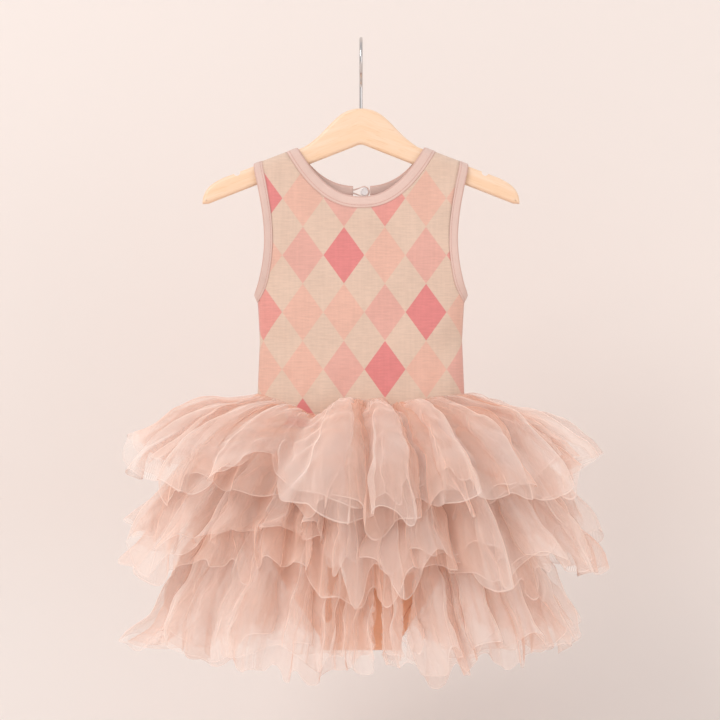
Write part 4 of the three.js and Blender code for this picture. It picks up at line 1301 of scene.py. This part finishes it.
def wood_material(settings):
    """Pale beech along the arms: soft grain, fine pores and short rays under a satin varnish."""
    material, graph, shader = new_material("Beech", Roughness=0.42, Coat_Weight=0.35, Coat_Roughness=0.28)
    x, y, z = graph.split(graph.place())
    slope = graph.calc("MULTIPLY_ADD", graph.calc("ABSOLUTE", x), 0.36, z)
    along = graph.join(graph.times(x, 12.0), graph.times(y, 150.0), graph.times(slope, 150.0))
    grain = graph.noise(along, 1.0, 4.0, Distortion=0.6)
    pores = graph.noise(along, 7.0, 2.0)
    rays = graph.put("ShaderNodeTexVoronoi", {"Vector": along, "Scale": 2.6}).outputs["Distance"]
    base = graph.mix(graph.remap(grain, 0.3, 0.7, 0, 1), settings.wood_light, settings.wood_dark)
    base = graph.mix(graph.remap(pores, 0.56, 0.72, 0, 0.35), base, settings.wood_pore)
    base = graph.mix(graph.remap(rays, 0.05, 0.14, 0.25, 0.0), base, settings.wood_pore)
    rough = graph.remap(grain, 0.3, 0.7, 0.36, 0.5)
    graph.feed(shader, {"Base Color": base, "Roughness": rough, "Normal": graph.bump(0.15, 0.15, pores)})
    return material


def chrome_material():
    material, graph, shader = new_material("Chrome", Metallic=1.0)
    smear = graph.noise(graph.place(), 160.0, 3.0)
    tint = graph.mix(smear, (0.56, 0.54, 0.54, 1), (0.66, 0.63, 0.62, 1))
    graph.feed(shader, {"Base Color": tint, "Roughness": graph.remap(smear, 0.3, 0.7, 0.1, 0.22)})
    return material


def pearl_material():
    material, graph, shader = new_material(
        "Pearl", Coat_Weight=0.5, Coat_Roughness=0.1, Sheen_Weight=0.6, Sheen_Roughness=0.3)
    clouds = graph.noise(graph.place(), 420.0, 3.0, Distortion=1.5)
    tint = graph.mix(graph.remap(clouds, 0.35, 0.65, 0, 1), (1.0, 0.98, 0.96, 1), (1.0, 0.97, 0.98, 1))
    graph.feed(shader, {"Base Color": tint, "Roughness": graph.remap(clouds, 0.3, 0.7, 0.3, 0.45)})
    return material


def thread_material(name, colour):
    material, graph, shader = new_material(name, Roughness=0.7, Sheen_Weight=0.3)
    twist = graph.noise(graph.place(), 1600.0, 1.0)
    tint = graph.mix(graph.remap(twist, 0.35, 0.65, 0, 1), colour, darker(colour, 0.75))
    graph.feed(shader, {"Base Color": tint, "Normal": graph.bump(0.5, 0.1, twist)})
    return material


def stage_material(colour):
    """A painted wall that is clear from its back, so that the dress shows from behind too."""
    material, graph, shader = new_material("Painted wall", Roughness=0.9, Specular_IOR_Level=0.1)
    tint = graph.mix(graph.noise(graph.place(), 1.2, 2.0), colour, darker(colour, 0.97))
    back = graph.put("ShaderNodeNewGeometry").outputs["Backfacing"]
    graph.feed(shader, {"Base Color": tint, "Alpha": graph.calc("SUBTRACT", 1.0, back)})
    return material


# Settings

def colour_setting(name, description, code):
    return bpy.props.FloatVectorProperty(
        name=name, description=description, default=linear(code), size=4, min=0, max=1, subtype="COLOR")


def length_setting(name, description, value):
    return bpy.props.FloatProperty(
        name=name, description=description, default=value * MM, min=0, unit="LENGTH")


class TutuJerseySettings(bpy.types.PropertyGroup):
    wall: length_setting("Wall", "Thickness of the jersey", 1.2)
    cream: colour_setting("Cream", "Ground colour of the print", "DFC3B0")
    pale: colour_setting("Pale", "Palest printed diamonds", "E5B7A5")
    peach: colour_setting("Peach", "Peach printed diamonds", "E2ADA0")
    coral: colour_setting("Coral", "Coral printed diamonds", "E39C93")
    rose: colour_setting("Rose", "Boldest printed diamonds", "DF8987")
    binding_wall: length_setting("Binding", "Thickness of the folded binding", 2.3)
    binding: colour_setting("Binding", "Colour of the binding", "E6C8BD")
    stitch: colour_setting("Stitches", "Colour of the sewing thread", "E6BDB2")
    brief: colour_setting("Brief", "Colour of the brief", "F6B896")


class TutuSkirtSettings(bpy.types.PropertyGroup):
    density: bpy.props.FloatProperty(
        name="Density", description="Share of light that one layer of tulle holds back, seen straight on",
        default=0.24, min=0.05, max=0.95, subtype="FACTOR")
    tulle_light: colour_setting("Light", "Lighter tulle", "FFF4EE")
    tulle_dark: colour_setting("Dark", "Darker tulle", "FFEADF")
    # Colour of the painted shade on the inner layers near the seam
    tulle_depth_shade: colour_setting("Deep", "Inner layers", "F9BFA3")
    tulle_hem: colour_setting("Hem", "Cut edge of the tulle", "FDE8DE")


class TutuHangerSettings(bpy.types.PropertyGroup):
    wood_light: colour_setting("Light wood", "Lighter grain of the hanger", "FADBC0")
    wood_dark: colour_setting("Dark wood", "Darker grain of the hanger", "F5CEA9")
    wood_pore: colour_setting("Pores", "Pores and rays of the wood", "E2B27A")


class TutuStageSettings(bpy.types.PropertyGroup):
    wall: colour_setting("Wall", "Colour of the wall and floor", "F3EAE5")
    key_power: bpy.props.FloatProperty(
        name="Key light", description="Power of the large soft light", default=36.0, min=0, unit="POWER")
    fill_power: bpy.props.FloatProperty(
        name="Fill light", description="Power of the fill light", default=11.0, min=0, unit="POWER")


# Operators

def cloth_area(obj):
    """The cloth's area in square metres."""
    work = bmesh.new()
    work.from_mesh(obj.data)
    area = sum(f.calc_area() for f in work.faces)
    work.free()
    return area


def bind_openings(name, node, line, slot, cloth, wall, seed, **rest):
    """Binds an opening on each side, and gives the lines that its stitches follow."""
    lines = []
    for hand, word in ((1, "left"), (-1, "right")):
        pairs = opening_pairs(line("edge", 44, 6), line("seam", 44, 6), hand)
        band, stitched, (width, length) = band_object(name + word, pairs, wall, True, seed + hand)
        finish_piece(band, [node + word], cloth)
        lines.append(stitched)
    return lines


class TUTU_OT_bodice(bpy.types.Operator):
    """Builds the printed front and back of the bodice"""
    bl_idname = "tutu.bodice"
    bl_label = "Bodice"

    def execute(self, context):
        settings = context.scene.tutu_jersey
        cloth = printed_jersey(settings)
        for face in ("front", "back"):
            panel = bodice_panel(face)
            panel.name = "printed_" + face
            thicken(panel, settings.wall)
            if face == "back":
                apply_modifier(panel, "Wall")
                cut_slit(panel)
            finish_piece(panel, ["bodice_" + face], cloth)
        return {"FINISHED"}


class TUTU_OT_bindings(bpy.types.Operator):
    """Binds the neck and the armholes, with their topstitching"""
    bl_idname = "tutu.bindings"
    bl_label = "Bindings"

    def execute(self, context):
        settings = context.scene.tutu_jersey
        slot = "binding_jersey"
        cloth = plain_cloth("Binding rib", settings.binding, (700.0, 1000.0, 0.5), 0.14, 0.04)
        thread = thread_material("Sewing thread", settings.stitch)
        wall = settings.binding_wall / MM
        neck, stitched, (width, length) = band_object("neck_band", neck_pairs(), wall, False, 11)
        finish_piece(neck, ["neck_binding"], cloth)
        lines = bind_openings(
            "armhole_band_", "armhole_binding_", armhole_line, slot, cloth, wall, 12, rests_on=["hanger"])
        finish_piece(stitch_object("topstitching", [stitched, *lines]), [], thread)
        return {"FINISHED"}


class TUTU_OT_brief(bpy.types.Operator):
    """Builds the brief and binds its leg openings"""
    bl_idname = "tutu.brief"
    bl_label = "Brief"

    def execute(self, context):
        settings = context.scene.tutu_jersey
        slot = "plain_jersey"
        cloth = plain_cloth("Plain jersey", settings.brief, (1100.0, 800.0, 0.7), 0.10, 0.05)
        thread = thread_material("Brief thread", settings.brief)
        for face in ("front", "back"):
            panel = brief_panel(face)
            panel.name = "plain_" + face
            thicken(panel, settings.wall)
            finish_piece(panel, ["brief_" + face], cloth)
        wall = settings.binding_wall / MM
        lines = bind_openings("leg_band_", "leg_binding_", leg_line, slot, cloth, wall, 20)
        finish_piece(stitch_object("leg_stitching", lines), [], thread)
        return {"FINISHED"}


class TUTU_OT_skirt(bpy.types.Operator):
    """Gathers three sheets of tulle for each tier of the skirt"""
    bl_idname = "tutu.skirt"
    bl_label = "Skirt"

    def execute(self, context):
        net = tulle_material(context.scene.tutu_skirt)
        for number, key in enumerate(TIERS):
            for layer in range(SHEETS):
                points, cloth, reach = tulle_sheet(key, layer, 100 + 10 * number + layer)
                sheet = cloth_object("tulle_" + key + "_" + "abc"[layer], [(points, cloth)], wrap=True)
                settle(sheet, np.clip(1.2 - reach / 0.07, 0.2, 1))
                # How much painted shade each point takes: more on the inner sheets and towards the seam
                depth = 0.3 + 0.7 * layer / (SHEETS - 1)
                paint_value(sheet, "inner", depth * np.clip(1.1 - 0.6 * reach - 0.2 * (layer == 0), 0, 1))
                rng = np.random.default_rng(7 + number)
                tone = soft_noise(points, rng, 70)[..., 0] * 0.5 + soft_noise(points, rng, 22)[..., 1] * 0.25
                paint_value(sheet, "tone", np.clip(0.5 + tone, 0, 1))
                part_folds(sheet, TIERS[key].get("gaps", []))
                smoothed(sheet, 1)
                finish_piece(sheet, ["tutu_tier_" + key] if layer == 0 else [], net)
                length = -cloth[..., 1].min() * MM
                cloth_area(sheet) / length
        return {"FINISHED"}


class TUTU_OT_closure(bpy.types.Operator):
    """Makes the pearl button and its thread loop at the back of the neck"""
    bl_idname = "tutu.closure"
    bl_label = "Closure"

    def execute(self, context):
        low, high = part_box("back_button")
        middle = (low + high) / 2
        radius = BUTTON_RADIUS * MM
        bpy.ops.object.select_all(action="DESELECT")
        bpy.ops.mesh.primitive_cylinder_add(vertices=40, radius=radius, depth=2.4 * MM, location=(0, 0, 0))
        button = context.view_layer.objects.active
        button.name = "pearl_button"
        bpy.ops.object.mode_set(mode="EDIT")
        bpy.ops.mesh.select_all(action="DESELECT")
        work = bmesh.from_edit_mesh(button.data)
        for face in work.faces:
            face.select = abs(face.normal.z) > 0.9
        bmesh.update_edit_mesh(button.data)
        bpy.ops.mesh.inset(thickness=0.9 * MM)
        bpy.ops.mesh.inset(thickness=0.7 * MM)
        bpy.ops.object.mode_set(mode="OBJECT")
        with editing(button.data) as work:
            for vertex in work.verts:
                away = math.hypot(vertex.co.x, vertex.co.y)
                if away < radius - 1.2 * MM:
                    vertex.co.z *= 0.55
                elif away > radius - 0.2 * MM:
                    vertex.co.z *= 0.62
        edge = button.modifiers.new("Edge", "BEVEL")
        edge.width = 0.3 * MM
        edge.segments = 2
        edge.limit_method = "ANGLE"
        apply_modifier(button, "Edge")
        smoothed(button, 2)
        apply_modifier(button, "Smooth")
        turn = Matrix.Rotation(BUTTON_TURN, 4, "Z") @ Matrix.Rotation(math.radians(90), 4, "X")
        button.data.transform(Matrix.Translation(middle) @ turn)
        shade_smooth(button.data)
        finish_piece(button, ["back_button"], pearl_material())

        depth = middle.y / MM
        wrap = BUTTON_RADIUS + 0.6 + SEAM_GAP
        x0, z0 = middle.x / MM, middle.z / MM
        foot_x = SEAM_GAP - NECK_END["right"]
        path = [(foot_x, depth, z0 + 1.4)]
        for turn_by in np.radians(np.linspace(110, -110, 24)):
            x = x0 + wrap * math.cos(turn_by) * math.cos(BUTTON_TURN)
            path.append((x, depth, z0 + wrap * math.sin(turn_by)))
        path.append((foot_x, depth, z0 - 1.4))
        path = smooth_line(path, 60)
        made = []
        for strand in range(2):
            twist = np.linspace(0, 2 * np.pi * 9, len(path)) + strand * np.pi
            along = unit(np.gradient(path, axis=0))
            side = unit(np.cross(along, np.array([0, 1.0, 0.0])))
            other = np.cross(along, side)
            off = side * np.cos(twist)[:, None] + other * np.sin(twist)[:, None]
            line = path + STRAND_OFFSET * off
            made.append(tube_object("loop_strand_" + str(strand), line, STRAND_RADIUS, 2))
        make_active(made[0])
        made[1].select_set(True)
        bpy.ops.object.join()
        made[0].name = "thread_loop"
        thread = thread_material("Loop thread", linear("F6DCD2"))
        finish_piece(made[0], ["back_button_loop"], thread)
        return {"FINISHED"}


class TUTU_OT_hanger(bpy.types.Operator):
    """Makes the wooden hanger and its wire hook"""
    bl_idname = "tutu.hanger"
    bl_label = "Hanger"

    def execute(self, context):
        board = flat_body("beech_hanger", hanger_outline(), HANGER_THICKNESS, 3.6)
        for x in (124, -124):
            drill(board, 3.4, 20, (x, 0, shoulder_line(124) - HANGER_CLEARANCE), True)
        drill(board, HOOK_WIRE + 0.35, 38, (0, 0, HANGER_TOP), False)
        make_active(board)
        bpy.ops.object.shade_smooth_by_angle(angle=math.radians(40))
        finish_piece(board, ["hanger"], wood_material(context.scene.tutu_hanger))
        hook = tube_object("wire_hook", hook_path(), HOOK_WIRE, 5)
        finish_piece(hook, ["hanger_hook"], chrome_material())
        return {"FINISHED"}


class TUTU_OT_stage(bpy.types.Operator):
    """Sets the wall and floor, the lights and the camera"""
    bl_idname = "tutu.stage"
    bl_label = "Stage"

    def execute(self, context):
        settings = context.scene.tutu_stage
        floor_level, wall_depth, radius = -0.78, 0.42, 0.3
        profile = [(-4.0, floor_level), (wall_depth - radius, floor_level)]
        for turn in np.radians(np.linspace(0, 90, 13))[1:]:
            y = wall_depth - radius + radius * math.sin(turn)
            profile.append((y, floor_level + radius * (1 - math.cos(turn))))
        profile.append((wall_depth, 3.0))
        mesh = bpy.data.meshes.new("backdrop")
        vertices = [(x, y, z) for y, z in profile for x in (-4.0, 4.0)]
        faces = [(2 * k, 2 * k + 1, 2 * k + 3, 2 * k + 2) for k in range(len(profile) - 1)]
        mesh.from_pydata(vertices, [], faces)
        shade_smooth(mesh)
        backdrop = new_object("backdrop", mesh)
        backdrop.data.materials.append(stage_material(settings.wall))

        def area_light(name, place, aim, size, power, colour):
            data = bpy.data.lights.new(name, "AREA")
            data.shape = "DISK"
            data.size = size
            data.energy = power
            data.color = colour
            lamp = new_object(name, data)
            lamp.location = place
            lamp.rotation_euler = (Vector(aim) - Vector(place)).to_track_quat("-Z", "Y").to_euler()

        area_light("key_light", (-1.8, -2.1, 1.4), (0, 0, -0.3), 1.6, settings.key_power, (1.0, 0.99, 0.98))
        area_light("fill_light", (2.0, -1.6, -0.2), (0, 0, -0.5), 2.0, settings.fill_power, (1.0, 0.97, 0.96))
        world = bpy.data.worlds.new("studio")
        context.scene.world = world
        world.use_nodes = True
        ambient = world.node_tree.nodes["Background"]
        ambient.inputs["Color"].default_value = (1.0, 0.99, 0.99, 1)
        ambient.inputs["Strength"].default_value = 0.72

        data = bpy.data.cameras.new("camera")
        data.lens = 120
        data.sensor_width = 36
        camera = new_object("camera", data)
        camera.location = (-0.001, -2.4, -0.3195)
        camera.rotation_euler = (math.radians(90), 0, 0)
        context.scene.camera = camera
        context.scene.view_settings.view_transform = "Standard"
        context.scene.cycles.transparent_max_bounces = 28
        return {"FINISHED"}


PIECES = (
    TUTU_OT_stage, TUTU_OT_hanger, TUTU_OT_bodice, TUTU_OT_bindings, TUTU_OT_brief, TUTU_OT_closure,
    TUTU_OT_skirt)


class TUTU_PT_panel(bpy.types.Panel):
    """Lists the pieces of the dress and their settings"""
    bl_idname = "TUTU_PT_panel"
    bl_label = "Tutu Dress"
    bl_space_type = "VIEW_3D"
    bl_region_type = "UI"
    bl_category = "Tutu Dress"

    def draw(self, context):
        for name in SETTINGS:
            settings = getattr(context.scene, name)
            for key in settings.__annotations__:
                self.layout.prop(settings, key)
        for piece in PIECES:
            self.layout.operator(piece.bl_idname)


SETTINGS = {
    "tutu_jersey": TutuJerseySettings, "tutu_skirt": TutuSkirtSettings,
    "tutu_hanger": TutuHangerSettings, "tutu_stage": TutuStageSettings,
}


def register():
    for group in (*SETTINGS.values(), *PIECES, TUTU_PT_panel):
        bpy.utils.register_class(group)
    for name, group in SETTINGS.items():
        setattr(bpy.types.Scene, name, bpy.props.PointerProperty(type=group))


def unregister():
    for name in SETTINGS:
        delattr(bpy.types.Scene, name)
    for group in reversed((*SETTINGS.values(), *PIECES, TUTU_PT_panel)):
        bpy.utils.unregister_class(group)


def main():
    register()
    for piece in PIECES:
        group, name = piece.bl_idname.split(".")
        getattr(getattr(bpy.ops, group), name)()
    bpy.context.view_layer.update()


if __name__ == "__main__":
    main()
